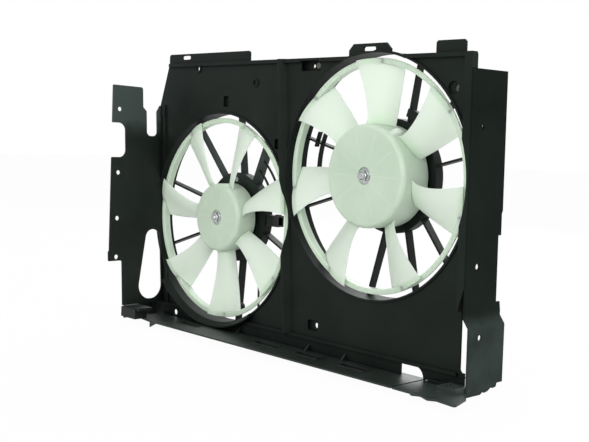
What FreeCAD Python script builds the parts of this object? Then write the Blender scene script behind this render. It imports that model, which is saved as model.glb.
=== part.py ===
import FreeCAD, Part
import math
import os

# Twin radiator cooling fan: a moulded shroud with two round openings, a ducted
# seven-blade fan in each, and a brush motor behind each fan on a spoked carrier.
# +X is the right as seen from the radiator, +Y is rearward with the air, +Z is up.
# The origin lies midway between the two top mounting slots, on the sheet's front face.

# Front sheet of the shroud
SHEET_T = 2.5
SHEET_TOP = -10.0
SHEET_BOTTOM = -434.0
SHEET_RIGHT = 407.5
SHEET_TOP_LEFT = -266.0
FOLD_TOP_X = -290.0
FOLD_TOP_Z = -84.0
FOLD_BOTTOM_X = -262.0
APRON_DROP = 19.0
CORNER_R = 4.0
BORDER_W = 12.5
BORDER_H = 10.0
BORDER_END = -318.0
BORDER_TAPER = 32.0
TOP_BEAD_W = 6.0
TOP_BEAD_H = 5.0
ROLL_BEAD_W = 5.0
ROLL_BEAD_H = 4.0
RIDGE_TOP_X = 32.0
RIDGE_LEAN = 4.4
RIDGE_BASE_W = 20.0
RIDGE_TOP_W = 5.0
RIDGE_H = 10.0
NOTCH_X = 297.0
NOTCH_W = 40.0
NOTCH_R = 15.0
FOOT_FLARE = 9.0
LEFT_BEAD_IN = 12.0
LEFT_BEAD_W = 5.0
LEFT_BEAD_H = 3.0

# Recesses and small marks of the sheet, each with its place and size
SIDE_RECESS = (-104.0, -76.0)
SIDE_RECESS_W = 14.0
SIDE_RECESS_H = 18.0
RIDGE_RECESS = (25.5, -143.0)
RIDGE_RECESS_W = 11.0
RIDGE_RECESS_H = 16.0
WIRE_RECESS = (97.0, -21.5)
WIRE_RECESS_W = 42.0
WIRE_RECESS_H = 15.0
WIRE_RECESS_DEPTH = 8.0
WIRE_HOLE_R = 3.0
LOW_RECESS = (120.0, -414.0)
LOW_RECESS_W = 22.0
LOW_RECESS_H = 16.0
LOW_HOLE_R = 4.0
LOW_HOLE_SHIFT = 3.0
SMALL_RECESS_DEPTH = 5.0
DISH = (371.0, -57.0)
DISH_R = 9.0
DISH_DEPTH = 3.0
DISH_HOLE_R = 4.0
DISH_HOLE_SHIFT = 4.0
EYELET = (-182.0, -20.0)
EYELET_R = 8.0
EYELET_HOLE_R = 5.0
RIM = (-30.0, -46.0)
RIM_R = 7.0
RIM_HOLE_R = 4.5
STUD = (-276.0, -98.0)
STUD_R = 4.0
APRON_HOLE_X = -225.0
APRON_HOLE_R = 5.0
APRON_HOLE_UP = 7.0

# Mounting tabs along the top edge
TAB_T = 3.0
TAB_EDGE_R = 3.0
SLOT_SPACING = 434.0
SLOT_LENGTH = 24.0
SLOT_R = 3.25
LONG_TAB_W = 219.0
LONG_TAB_TOP = 6.5
MID_TAB_W = 82.0
MID_TAB_TOP = 8.0
MID_TAB_CHAMFER = 9.0
RIGHT_TAB_X = 364.0
RIGHT_TAB_W = 50.0
RIGHT_TAB_TOP = 7.0

# Fan openings and their barrels
LEFT_X = -114.0
LEFT_Z = -270.0
LEFT_OPENING_R = 173.5
LEFT_BARREL = 32.0
RIGHT_X = 228.0
RIGHT_Z = -182.0
RIGHT_OPENING_R = 176.5
RIGHT_BARREL = 41.0
BARREL_T = 2.2
LIP_W = 3.5
LIP_H = 2.0
SCOOP_FROM = 222.0
SCOOP_SWEEP = 80.0
SCOOP_GAP = 0.5
SCOOP_FORWARD = 14.0
GUSSET_T = 2.0
GUSSET_W = 12.0

# Fans
BLADES = 7
LEFT_HUB_R = 56.5
LEFT_HUB_FRONT = -5.0
LEFT_HUB_DEPTH = 38.0
RIGHT_HUB_R = 74.5
RIGHT_HUB_FRONT = -15.0
RIGHT_HUB_DEPTH = 53.0
HUB_WALL = 2.5
HUB_EDGE = 4.0
HUB_RIB_T = 2.0
HUB_RIB_DEPTH = 9.0
HUB_RIBS = 10
BOSS_R = 15.0
BOSS_DEPTH = 11.0
TIP_GAP = 7.2
RING_LIP_W = 8.0
RING_T = 2.2
RING_FRONT = 4.0
RING_DEPTH = 12.0
BLADE_T = 2.4
BLADE_EDGE_T = 1.2
BLADE_CAMBER = 4.5
BLADE_BOW = 5.0
BLADE_SHARES = (0.0, 0.28, 1.0)
LEFT_BLADE_START = 160.0
LEFT_TIP_SPAN = 23.0
LEFT_ROOT_SPAN = 27.0
LEFT_BLADE_FRONT = -1.5
LEFT_BLADE_DEPTH = 19.0
RIGHT_BLADE_START = 153.5
RIGHT_TIP_SPAN = -26.5
RIGHT_ROOT_SPAN = -30.0
RIGHT_BLADE_FRONT = -4.0
RIGHT_BLADE_DEPTH = 23.0
ROOT_SET_BACK = 6.0
ROOT_EXTRA_DEPTH = 5.0

# Fan nuts, washers and motor shafts
LEFT_SHAFT_R = 4.0
RIGHT_SHAFT_R = 5.0
NUT_ACROSS = 15.0
NUT_H = 6.5
WASHER_R = 11.0
WASHER_T = 1.5
COUNTERBORE_R = 12.5
COUNTERBORE_DEPTH = 3.5
SHAFT_END = 2.0
FIT = 0.04

# Motors
LEFT_CASE_R = 46.0
RIGHT_CASE_R = 56.0
CASE_T = 1.8
CASE_EDGE = 4.0
CASE_LENGTH = 50.0
CASE_GAP = 3.0
CAP_T = 3.0
CAP_SPIGOT = 4.0
BEARING_R = 9.0
BEARING_L = 8.0
SEAT_T = 2.5
MAGNET_T = 7.0
MAGNET_SWEEP = 74.0
MAGNETS = 4
AIR_GAP = 0.8
CORE_L = 24.0
CORE_SLOTS = 12
CORE_SLOT_W = 3.0
COMMUTATOR_R = 11.0
COMMUTATOR_L = 9.0
BRUSH_W = 5.0
BRUSH_L = 10.0
CARD_T = 2.5
EAR_R = 7.0
EAR_OUT = 8.0
EAR_T = 2.5
EARS = 3
EAR_START = 30.0
SCREW_R = 2.5
SCREW_HEAD_R = 5.0
SCREW_HEAD_H = 3.5

# Motor carriers: a ring round each motor on thin vanes to the barrel
LEFT_RING_R = 75.0
RIGHT_RING_R = 84.0
RING_GAP = 5.0
CARRIER_DEPTH = 16.0
CARRIER_WALL = 3.0
CARRIER_PLATE = 5.0
CASE_CLEAR = 1.0
VANE_T = 3.2
VANE_DEPTH = 12.0
LEFT_VANES = (83.0, 121.0, 163.0, 201.0, 280.0, 342.0)
RIGHT_VANES = (13.0, 43.0, 71.0, 163.0, 199.0, 228.0, 262.0, 291.0, 315.0)
TRAY_ANGLE = 55.0
TRAY_W = 11.0
TRAY_WALL = 2.0
VANE_BOSS_ANGLE = 281.0
VANE_BOSS_R = 152.0
VANE_BOSS_W = 15.0
CLIP_VANE = 71.0
CLIP_R = 98.0
CLIP_W = 12.0
CLIP_REACH = 21.0

# Motor connectors and the lead of the left motor
PLUG_L = 28.0
PLUG_W = 18.0
PLUG_H = 14.0
PLUG_WALL = 2.5
PLUG_SOCKET = 12.0
LATCH_W = 6.0
LEAD_R = 1.8
LEAD_ANGLE = 297.0
LEAD_SHORT = 1.0

# Left side guide, a wall that stands forward along the fold
GUIDE_T = 2.5
GUIDE_FRONT_TOP = 98.8
GUIDE_RAKE = 0.0434
GUIDE_TOP = -51.0
GUIDE_EAR_TOP = -340.0
GUIDE_EAR_LOW = -356.0
GUIDE_EAR_OUT = 2.0
GUIDE_LOW_FRONT = 86.0
GUIDE_BOTTOM = -433.0
GUIDE_HOLE_R = 4.0
GUIDE_HOLE_INSET = 14.5
GUIDE_HOLES = (-93.3, -203.7, -282.7, -349.2)
BITE_TOP = -117.0
BITE_BOTTOM = -177.0
BITE_IN = 75.0
BITE_R = 13.0
GAP_FRONT = 30.0
GAP_REAR = 8.0
GAP_BOTTOM = -139.0
GAP_FLARE = 7.0
GAP_FLARE_Z = -95.0
WINDOW_TOP_Y = 20.5
WINDOW_TOP_Z = -320.0
WINDOW_TOP_R = 15.5
WINDOW_LOW_Y = 28.0
WINDOW_LOW_Z = -402.5
WINDOW_LOW_R = 24.0
OPENING_CLEAR = 0.3

# Right side guide, a wall that runs rearward beside the border
WALL_TOP = -32.0
WALL_REAR = 66.0
WALL_WAIST = 58.0
WALL_WAIST_TOP = -252.0
WALL_WAIST_END = -341.0
JOGGLE_TOP = -359.0
JOGGLE_DROP = 11.0
JOGGLE_OUT = 8.0
WALL_BOTTOM = -459.0
WALL_HOLE_Y = 14.0
WALL_HOLE_TOP = -108.5
WALL_HOLE_SPACING = 183.0
WALL_HOLE_R = 4.0
LOW_HOLE_Z = -383.5
HOOKS = 3
HOOK_DROP = 5.0
HOOK_W = 11.0

# Lower air guide, a shelf under the apron
SHELF_LEFT = -263.0
SHELF_RIGHT = 335.0
SHELF_FRONT = 64.0
SHELF_SLANT_X = -213.0
SHELF_SLANT = 8.5
SHELF_BACK = 10.0
SHELF_T = 2.5
POCKET_W = 48.0
POCKET_L = 14.0
POCKET_DEPTH = 6.0
POCKET_Y = -26.0
POCKETS_X = (-147.0, 46.0, 140.0, 232.0)
RIB_X = (-47.0, 114.0, 191.0)
RIB_H = 10.0
RIB_OUT = 12.0
TOOTH_X = -212.0
TOOTH_W = 20.0
TOOTH_H = 11.0

# Lower corner guide, a small shelf at the right foot
CORNER_W = 77.0
CORNER_OVERHANG = 29.0
CORNER_FRONT = 65.0
CORNER_SLANT = 12.0
CORNER_REAR = 33.0
PAD_W = 32.0
PAD_FRONT = 30.0
PAD_REAR = 4.0
PAD_H = 6.5
PAD_SLOT_W = 4.0

# Foot at the lower left, with its rubber sleeve
FOOT_X = -251.0
FOOT_W = 42.0
FOOT_Y = -70.0
FOOT_L = 24.0
FOOT_H = 17.0
PEG_R = 7.0
PEG_H = 16.0
SLEEVE_T = 4.0

# Wire clip in the top recess
CLIP_HEAD_R = 4.5
CLIP_STEM_R = 2.4
CLIP_STEM_L = 4.0
CLIP_HEAD_H = 3.0

Y_AXIS = FreeCAD.Vector(0, 1, 0)
TURN_AXIS = FreeCAD.Vector(0, -1, 0)
OVER = 5.0


def vec(x, y, z):
    return FreeCAD.Vector(x, y, z)


def rounded_wire(points, place):
    """Closed outline through (u, v, corner radius) points, put in space by place(u, v)."""
    starts = []
    ends = []
    middles = []
    count = len(points)
    for i, (u, v, radius) in enumerate(points):
        corner = vec(u, v, 0)
        before = vec(points[i - 1][0], points[i - 1][1], 0) - corner
        after = vec(points[(i + 1) % count][0], points[(i + 1) % count][1], 0) - corner
        before.normalize()
        after.normalize()
        if radius <= 0:
            starts.append(corner)
            ends.append(corner)
            middles.append(None)
            continue
        half = before.getAngle(after) / 2
        reach = radius / math.tan(half)
        bisector = before + after
        bisector.normalize()
        starts.append(corner + before * reach)
        ends.append(corner + after * reach)
        middles.append(corner + bisector * (radius / math.sin(half) - radius))
    edges = []
    for i in range(count):
        if middles[i] is not None:
            arc = Part.Arc(place(*starts[i][:2]), place(*middles[i][:2]), place(*ends[i][:2]))
            edges.append(arc.toShape())
        following = starts[(i + 1) % count]
        if ends[i].distanceToPoint(following) > 1e-6:
            edges.append(Part.makeLine(place(*ends[i][:2]), place(*following[:2])))
    return Part.Wire(edges)


def prism(points, place, push):
    """Solid of an outline, pushed along a vector."""
    return Part.Face(rounded_wire(points, place)).extrude(push)


def upright(points, y0, y1):
    """Plate drawn in X and Z between two depths."""
    return prism(points, lambda u, v: vec(u, y0, v), vec(0, y1 - y0, 0))


def level(points, z0, z1):
    """Plate drawn in X and Y between two heights."""
    return prism(points, lambda u, v: vec(u, v, z0), vec(0, 0, z1 - z0))


def sideways(points, x0, x1):
    """Plate drawn in Y and Z between two X places."""
    return prism(points, lambda u, v: vec(x0, u, v), vec(x1 - x0, 0, 0))


def square(points):
    """The same points with sharp corners."""
    return [(u, v, 0) for u, v in points]


def block(x0, x1, y0, y1, z0, z1):
    return Part.makeBox(x1 - x0, y1 - y0, z1 - z0, vec(x0, y0, z0))


def disc(x, z, radius, y0, y1):
    return Part.makeCylinder(radius, y1 - y0, vec(x, y0, z), Y_AXIS)


def tube(x, z, outer, inner, y0, y1):
    return disc(x, z, outer, y0, y1).cut(disc(x, z, inner, y0 - OVER, y1 + OVER))


def around(shape, x, z, angle):
    """Copy of a shape turned about a fan axis, from +X towards +Z."""
    turned_copy = shape.copy()
    turned_copy.rotate(vec(x, 0, z), TURN_AXIS, angle)
    return turned_copy


def turned(x, z, profile, start=0.0, sweep=360.0):
    """Solid of revolution about a fan axis from (radius, depth, corner radius) points."""
    face = Part.Face(rounded_wire(profile, lambda r, y: vec(x + r, y, z)))
    solid = face.revolve(vec(x, 0, z), TURN_AXIS, sweep)
    return around(solid, x, z, start)


def polar(x, z, radius, angle):
    return x + radius * math.cos(math.radians(angle)), z + radius * math.sin(math.radians(angle))


def joined(first, others):
    return first.fuse(others).removeSplitter()


def save(name, shape):
    shape.exportStep("parts/" + name + ".step")


class FanSet:
    """Sizes of one fan with its opening, motor and carrier, all from the values above."""

    def __init__(self, side):
        left = side == "left"
        self.side = side
        self.x = LEFT_X if left else RIGHT_X
        self.z = LEFT_Z if left else RIGHT_Z
        self.opening = LEFT_OPENING_R if left else RIGHT_OPENING_R
        self.barrel = LEFT_BARREL if left else RIGHT_BARREL
        self.hub = LEFT_HUB_R if left else RIGHT_HUB_R
        self.hub_front = LEFT_HUB_FRONT if left else RIGHT_HUB_FRONT
        self.hub_rear = self.hub_front + (LEFT_HUB_DEPTH if left else RIGHT_HUB_DEPTH)
        self.blade_start = LEFT_BLADE_START if left else RIGHT_BLADE_START
        self.tip_span = LEFT_TIP_SPAN if left else RIGHT_TIP_SPAN
        self.root_span = LEFT_ROOT_SPAN if left else RIGHT_ROOT_SPAN
        self.blade_depth = LEFT_BLADE_DEPTH if left else RIGHT_BLADE_DEPTH
        self.shaft = LEFT_SHAFT_R if left else RIGHT_SHAFT_R
        self.case = LEFT_CASE_R if left else RIGHT_CASE_R
        self.ring = LEFT_RING_R if left else RIGHT_RING_R
        self.vanes = LEFT_VANES if left else RIGHT_VANES
        self.lip = self.opening - TIP_GAP
        self.band = self.lip - RING_LIP_W
        self.blade_front = LEFT_BLADE_FRONT if left else RIGHT_BLADE_FRONT
        self.seat = self.hub_front + COUNTERBORE_DEPTH
        self.boss_rear = self.seat + BOSS_DEPTH
        self.case_front = self.boss_rear + CASE_GAP
        self.case_rear = self.case_front + CASE_LENGTH
        self.bore = self.case - CASE_T
        self.plate = self.hub_rear + RING_GAP
        self.ear_y = self.plate + CARRIER_PLATE
        self.screw_r = self.case + EAR_OUT
        self.core_r = self.bore - MAGNET_T - AIR_GAP
        self.core_y = self.case_front + BEARING_L + 6.0
        self.comm_y = self.core_y + CORE_L + 1.0
        self.plug_angle = 0.0 if left else 180.0


def fold_lean():
    """Angle of the left fold from upright, in degrees."""
    return math.degrees(math.atan2(FOLD_BOTTOM_X - FOLD_TOP_X, FOLD_TOP_Z - SHEET_BOTTOM))


def fold_x(z):
    return FOLD_TOP_X + (FOLD_TOP_Z - z) * math.tan(math.radians(fold_lean()))


def sheet_outline():
    apron = SHEET_BOTTOM - APRON_DROP
    inner = SHEET_RIGHT - BORDER_W + BORDER_W * 0.25
    taper_end = BORDER_END - BORDER_TAPER
    flare_z = SHEET_BOTTOM - 3.0
    return [
        (SHEET_TOP_LEFT, SHEET_TOP, CORNER_R),
        (SHEET_RIGHT, SHEET_TOP, CORNER_R),
        (SHEET_RIGHT, BORDER_END, 0),
        (inner, taper_end, 0),
        (inner, flare_z + FOOT_FLARE, CORNER_R),
        (inner + FOOT_FLARE, flare_z, 0),
        (inner - NOTCH_W, apron + CORNER_R, 0),
        (NOTCH_X + NOTCH_W, apron, 0),
        (NOTCH_X + NOTCH_W, SHEET_BOTTOM - ROLL_BEAD_W / 2, NOTCH_R),
        (NOTCH_X, SHEET_BOTTOM - ROLL_BEAD_W / 2, 0),
        (NOTCH_X, apron, 0),
        (fold_x(apron), apron, 0),
        (FOLD_TOP_X, FOLD_TOP_Z, 0),
    ]


def slotted_tab(centre, width, top, chamfer):
    """Upright tab with a mounting slot, standing on the top edge."""
    low = SHEET_TOP - TOP_BEAD_W
    left = centre - width / 2
    right = centre + width / 2
    outline = [(left, low, 0), (right, low, 0), (right, top - chamfer, 0)]
    outline += [(right - chamfer, top, 0), (left + chamfer, top, 0), (left, top - chamfer, 0)]
    return upright(outline, 0, TAB_T)


def slot_cut(centre):
    half = SLOT_LENGTH / 2
    corners = [(centre - half, -SLOT_R, SLOT_R), (centre + half, -SLOT_R, SLOT_R)]
    corners += [(centre + half, SLOT_R, SLOT_R), (centre - half, SLOT_R, SLOT_R)]
    nudged = [(u, v, SLOT_R - 0.001) for u, v, _ in corners]
    return upright(nudged, -OVER, TAB_T + OVER)


def pocket(x, z, width, height, depth, hole):
    """Recess moulded into the sheet: the cup behind it, its hollow and its hole."""
    wall = SHEET_T
    half_w = width / 2
    half_h = height / 2
    radius = min(half_w, half_h) * 0.4
    outer = [(x - half_w - wall, z - half_h - wall, radius), (x + half_w + wall, z - half_h - wall, radius)]
    outer += [(x + half_w + wall, z + half_h + wall, radius), (x - half_w - wall, z + half_h + wall, radius)]
    inner = [(x - half_w, z - half_h, radius), (x + half_w, z - half_h, radius)]
    inner += [(x + half_w, z + half_h, radius), (x - half_w, z + half_h, radius)]
    cup = upright(outer, 0, depth + wall)
    hollow = upright(inner, -OVER, depth)
    if hole is not None:
        hollow = hollow.fuse(disc(x + hole[0], z + hole[1], hole[2], -OVER, depth + wall + OVER))
    return cup, hollow


def dish(x, z, radius, depth, shift, hole):
    """Round shallow recess with a hole beside its middle."""
    cup = disc(x, z, radius + SHEET_T, 0, depth + SHEET_T)
    hollow = disc(x, z, radius, -OVER, depth).fuse(disc(x + shift, z, hole, -OVER, depth + SHEET_T + OVER))
    return cup, hollow


def divider_ridge():
    """Leaning ridge that stiffens the sheet between the two openings."""
    half_base = RIDGE_BASE_W / 2
    half_top = RIDGE_TOP_W / 2
    length = SHEET_TOP - SHEET_BOTTOM
    section = [(-half_base, SHEET_T / 2, 0), (-half_top, -RIDGE_H, 1.5), (half_top, -RIDGE_H, 1.5)]
    section.append((half_base, SHEET_T / 2, 0))
    ridge = level(section, -length / math.cos(math.radians(RIDGE_LEAN)), 0)
    ridge.translate(vec(RIDGE_TOP_X, 0, SHEET_TOP))
    ridge.rotate(vec(RIDGE_TOP_X, 0, SHEET_TOP), TURN_AXIS, RIDGE_LEAN)
    return ridge


def left_bead():
    """Low bead along the fold, just inside the left edge."""
    span = FOLD_TOP_Z - SHEET_BOTTOM
    bead = block(LEFT_BEAD_IN, LEFT_BEAD_IN + LEFT_BEAD_W, -LEFT_BEAD_H, SHEET_T / 2, -span, 0)
    bead.rotate(vec(0, 0, 0), TURN_AXIS, fold_lean())
    bead.translate(vec(FOLD_TOP_X, 0, FOLD_TOP_Z))
    return bead


def scoop(fan):
    """Flared lip that carries the left opening out over the lower shelf."""
    radius = fan.opening - LIP_H
    outer = fan.z - (SHEET_BOTTOM - APRON_DROP) - SCOOP_GAP
    foot = fan.opening + BARREL_T + SHEET_T
    inside = SHEET_T / 2
    profile = [(radius, inside, 0), (radius, -LIP_H / 2, 0), (outer - SHEET_T, -SCOOP_FORWARD, 0)]
    profile += [(outer, -SCOOP_FORWARD, 0), (foot, inside / 2, 0), (foot, inside, 0)]
    return turned(fan.x, fan.z, profile, SCOOP_FROM, SCOOP_SWEEP)


def barrel_gussets(fan, angles):
    """Triangular ribs behind the sheet that hold the barrel square."""
    foot = fan.opening + BARREL_T
    shape = [(foot - 0.5, SHEET_T - 0.5, 0), (foot + GUSSET_W, SHEET_T - 0.5, 0)]
    shape.append((foot - 0.5, fan.barrel - 4.0, 0))
    rib = prism(shape, lambda r, y: vec(fan.x + r, y, fan.z - GUSSET_T / 2), vec(0, 0, GUSSET_T))
    return [around(rib, fan.x, fan.z, angle) for angle in angles]


def make_shroud(left, right):
    body = upright(sheet_outline(), 0, SHEET_T)
    adds = []
    cuts = []
    border_left = SHEET_RIGHT - BORDER_W
    border = [(border_left, SHEET_TOP, 0), (SHEET_RIGHT, SHEET_TOP, 0), (SHEET_RIGHT, BORDER_END, 0)]
    border.append((border_left + BORDER_W * 0.25, BORDER_END - BORDER_TAPER, 0))
    border.append((border_left, BORDER_END - BORDER_TAPER, 0))
    adds.append(upright(border, -BORDER_H, SHEET_T / 2))
    adds.append(block(SHEET_TOP_LEFT + CORNER_R, SHEET_RIGHT - CORNER_R, -TOP_BEAD_H, SHEET_T / 2,
                      SHEET_TOP - TOP_BEAD_W, SHEET_TOP))
    roll_low = SHEET_BOTTOM - ROLL_BEAD_W / 2
    adds.append(block(fold_x(SHEET_BOTTOM) + SHEET_T, SHEET_RIGHT - BORDER_W, -ROLL_BEAD_H, SHEET_T / 2,
                      roll_low, roll_low + ROLL_BEAD_W))
    adds.append(divider_ridge())
    adds.append(left_bead())
    adds.append(scoop(left))
    for fan in (left, right):
        adds.append(disc(fan.x, fan.z, fan.opening + BARREL_T, 0, fan.barrel))
        adds.append(disc(fan.x, fan.z, fan.opening + LIP_W, -LIP_H, SHEET_T / 2))
    adds += barrel_gussets(left, (75, 110, 145, 180, 215))
    adds += barrel_gussets(right, (225, 255, 285, 315, 140))
    half = SLOT_SPACING / 2
    long_left = SHEET_TOP_LEFT + LONG_TAB_W / 2
    adds.append(slotted_tab(long_left, LONG_TAB_W, LONG_TAB_TOP, TAB_EDGE_R))
    adds.append(slotted_tab(half, MID_TAB_W, MID_TAB_TOP, MID_TAB_CHAMFER))
    adds.append(slotted_tab(RIGHT_TAB_X, RIGHT_TAB_W, RIGHT_TAB_TOP, TAB_EDGE_R))
    recesses = [
        pocket(*SIDE_RECESS, SIDE_RECESS_W, SIDE_RECESS_H, SMALL_RECESS_DEPTH, None),
        pocket(*RIDGE_RECESS, RIDGE_RECESS_W, RIDGE_RECESS_H, SMALL_RECESS_DEPTH, None),
        pocket(*WIRE_RECESS, WIRE_RECESS_W, WIRE_RECESS_H, WIRE_RECESS_DEPTH, (-1.0, 0.0, WIRE_HOLE_R)),
        pocket(*LOW_RECESS, LOW_RECESS_W, LOW_RECESS_H, SMALL_RECESS_DEPTH, (LOW_HOLE_SHIFT, 0.0, LOW_HOLE_R)),
        dish(*DISH, DISH_R, DISH_DEPTH, DISH_HOLE_SHIFT, DISH_HOLE_R),
    ]
    for cup, hollow in recesses:
        adds.append(cup)
        cuts.append(hollow)
    adds.append(disc(*EYELET, EYELET_R, -1.5, SHEET_T + 2.0))
    cuts.append(disc(*EYELET, EYELET_HOLE_R, -OVER, SHEET_T + OVER))
    adds.append(tube(*RIM, RIM_R, RIM_HOLE_R, -2.0, SHEET_T / 2))
    adds.append(disc(*STUD, STUD_R, -4.0, SHEET_T / 2))
    apron = SHEET_BOTTOM - APRON_DROP
    cuts.append(disc(APRON_HOLE_X, apron + APRON_HOLE_UP, APRON_HOLE_R, -OVER, SHEET_T + OVER))
    whole = joined(body, adds)
    for fan in (left, right):
        whole = whole.cut(disc(fan.x, fan.z, fan.opening, -BORDER_H - OVER, fan.barrel + OVER))
    cuts += [slot_cut(-half), slot_cut(half)]
    beyond = SHEET_RIGHT + 10 * OVER
    cuts.append(block(SHEET_RIGHT, beyond, -BORDER_H - OVER, right.barrel + OVER, apron - OVER, SHEET_TOP))
    for tool in cuts:
        whole = whole.cut(tool)
    return whole


def guide_front(z):
    """Depth of the guide's raked front edge at a height."""
    return -GUIDE_FRONT_TOP - GUIDE_RAKE * (GUIDE_TOP - z)


def make_left_guide(fan):
    """Forward wall along the fold, drawn upright, leaned about the fold's top and cleared round the opening."""
    ear = guide_front(GUIDE_EAR_TOP) - GUIDE_EAR_OUT
    outline = [
        (SHEET_T, FOLD_TOP_Z, 0),
        (-GAP_REAR + GAP_FLARE, FOLD_TOP_Z, 0),
        (-GAP_REAR, GAP_FLARE_Z, 0),
        (-GAP_REAR, GAP_BOTTOM, 8.0),
        (-GAP_FRONT, GAP_BOTTOM, 8.0),
        (-GAP_FRONT, GAP_FLARE_Z, 0),
        (-GAP_FRONT - GAP_FLARE, GAP_FLARE_Z + GAP_FLARE, 0),
        (-GAP_FRONT - GAP_FLARE, GUIDE_TOP - 2.0, CORNER_R),
        (-GUIDE_FRONT_TOP, GUIDE_TOP, 1.5),
        (guide_front(BITE_TOP), BITE_TOP, 2.0),
        (-BITE_IN, BITE_TOP, BITE_R),
        (-BITE_IN, BITE_BOTTOM, BITE_R),
        (guide_front(BITE_BOTTOM), BITE_BOTTOM, 2.0),
        (guide_front(GUIDE_EAR_TOP), GUIDE_EAR_TOP + GUIDE_EAR_OUT, 0),
        (ear, GUIDE_EAR_TOP, 0),
        (ear, GUIDE_EAR_LOW, 2.0),
        (-GUIDE_LOW_FRONT, GUIDE_EAR_LOW, 3.0),
        (-GUIDE_LOW_FRONT, GUIDE_BOTTOM, 0),
        (SHEET_T, GUIDE_BOTTOM, 0),
    ]
    wall = sideways(outline, FOLD_TOP_X - GUIDE_T, FOLD_TOP_X)
    drills = []
    for z in GUIDE_HOLES:
        drills.append(Part.makeCylinder(GUIDE_HOLE_R, GUIDE_T + 2 * OVER,
                                        vec(FOLD_TOP_X - GUIDE_T - OVER, guide_front(z) + GUIDE_HOLE_INSET, z),
                                        vec(1, 0, 0)))
    drills.append(window_cut())
    wall = wall.cut(drills)
    wall.rotate(vec(FOLD_TOP_X, 0, FOLD_TOP_Z), TURN_AXIS, fold_lean())
    radius = fan.opening + LIP_W + OPENING_CLEAR
    front = min(-LIP_H, fan.blade_front) - OPENING_CLEAR
    return wall.cut(disc(fan.x, fan.z, radius, front, SHEET_T + OVER))


def window_cut():
    """Long pear-shaped window: two circles and the straight sides that touch both."""
    dy = WINDOW_LOW_Y - WINDOW_TOP_Y
    dz = WINDOW_TOP_Z - WINDOW_LOW_Z
    aim = math.atan2(dz, dy)
    spread = math.acos((WINDOW_LOW_R - WINDOW_TOP_R) / math.hypot(dy, dz))
    points = []
    for radius, y, z in ((WINDOW_LOW_R, -WINDOW_LOW_Y, WINDOW_LOW_Z), (WINDOW_TOP_R, -WINDOW_TOP_Y, WINDOW_TOP_Z)):
        pair = []
        for sign in (-1, 1):
            angle = aim + sign * spread
            pair.append((y + radius * math.cos(angle), z + radius * math.sin(angle)))
        points.append(pair)
    quad = square([points[0][0], points[1][0], points[1][1], points[0][1]])
    x0 = FOLD_TOP_X - GUIDE_T - OVER
    x1 = FOLD_TOP_X + OVER
    low = Part.makeCylinder(WINDOW_LOW_R, x1 - x0, vec(x0, -WINDOW_LOW_Y, WINDOW_LOW_Z), vec(1, 0, 0))
    top = Part.makeCylinder(WINDOW_TOP_R, x1 - x0, vec(x0, -WINDOW_TOP_Y, WINDOW_TOP_Z), vec(1, 0, 0))
    return sideways(quad, x0, x1).fuse([low, top])


def make_right_guide():
    """Rearward wall beside the border, with an outward joggle near its foot."""
    x = SHEET_RIGHT
    joggle_end = JOGGLE_TOP - JOGGLE_DROP
    section = [
        (x, WALL_TOP, 0),
        (x + GUIDE_T, WALL_TOP, 0),
        (x + GUIDE_T, JOGGLE_TOP, 2.0),
        (x + GUIDE_T + JOGGLE_OUT, joggle_end, 2.0),
        (x + GUIDE_T + JOGGLE_OUT, WALL_BOTTOM, 0),
        (x + JOGGLE_OUT, WALL_BOTTOM, 0),
        (x + JOGGLE_OUT, joggle_end, 2.0),
        (x, JOGGLE_TOP, 2.0),
    ]
    wall = upright(section, -BORDER_H, WALL_REAR + HOOK_W)
    far = WALL_REAR + HOOK_W + OVER
    trim = [
        (WALL_REAR, WALL_TOP + OVER, 0),
        (WALL_REAR, WALL_WAIST_TOP + 33.0, 0),
        (WALL_REAR - 2.0, WALL_WAIST_TOP + 29.0, 0),
        (WALL_REAR - 2.0, WALL_WAIST_TOP, 0),
        (WALL_WAIST, WALL_WAIST_TOP, 1.0),
        (WALL_WAIST, WALL_WAIST_END, 1.0),
        (WALL_REAR, WALL_WAIST_END, 0),
        (WALL_REAR + 2.0, WALL_WAIST_END - 12.0, 0),
        (WALL_REAR + 1.0, WALL_BOTTOM + 11.0, 0),
        (WALL_REAR - HOOK_W, WALL_BOTTOM + 11.0, 0),
    ]
    pitch = (WALL_REAR - HOOK_W) / HOOKS
    rise = 11.0 / HOOKS
    for i in range(HOOKS):
        y = WALL_REAR - HOOK_W - i * pitch
        z = WALL_BOTTOM + 11.0 - i * rise
        trim.append((y - 2.0, z - HOOK_DROP, 0))
        trim.append((y - HOOK_W + 2.0, z - HOOK_DROP - 1.0, 0))
        trim.append((y - HOOK_W, z - rise, 0))
    trim += [(-BORDER_H - OVER, WALL_BOTTOM, 0), (-BORDER_H - OVER, WALL_BOTTOM - 2 * OVER, 0)]
    trim += [(far, WALL_BOTTOM - 2 * OVER, 0), (far, WALL_TOP + OVER, 0)]
    cuts = [sideways(trim, x - OVER, x + JOGGLE_OUT + GUIDE_T + OVER)]
    for y, z in ((WALL_HOLE_Y, WALL_HOLE_TOP), (WALL_HOLE_Y, WALL_HOLE_TOP - WALL_HOLE_SPACING),
                 (WALL_HOLE_Y, LOW_HOLE_Z)):
        cuts.append(Part.makeCylinder(WALL_HOLE_R, 4 * OVER, vec(x - OVER, y, z), vec(1, 0, 0)))
    return wall.cut(cuts)


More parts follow.
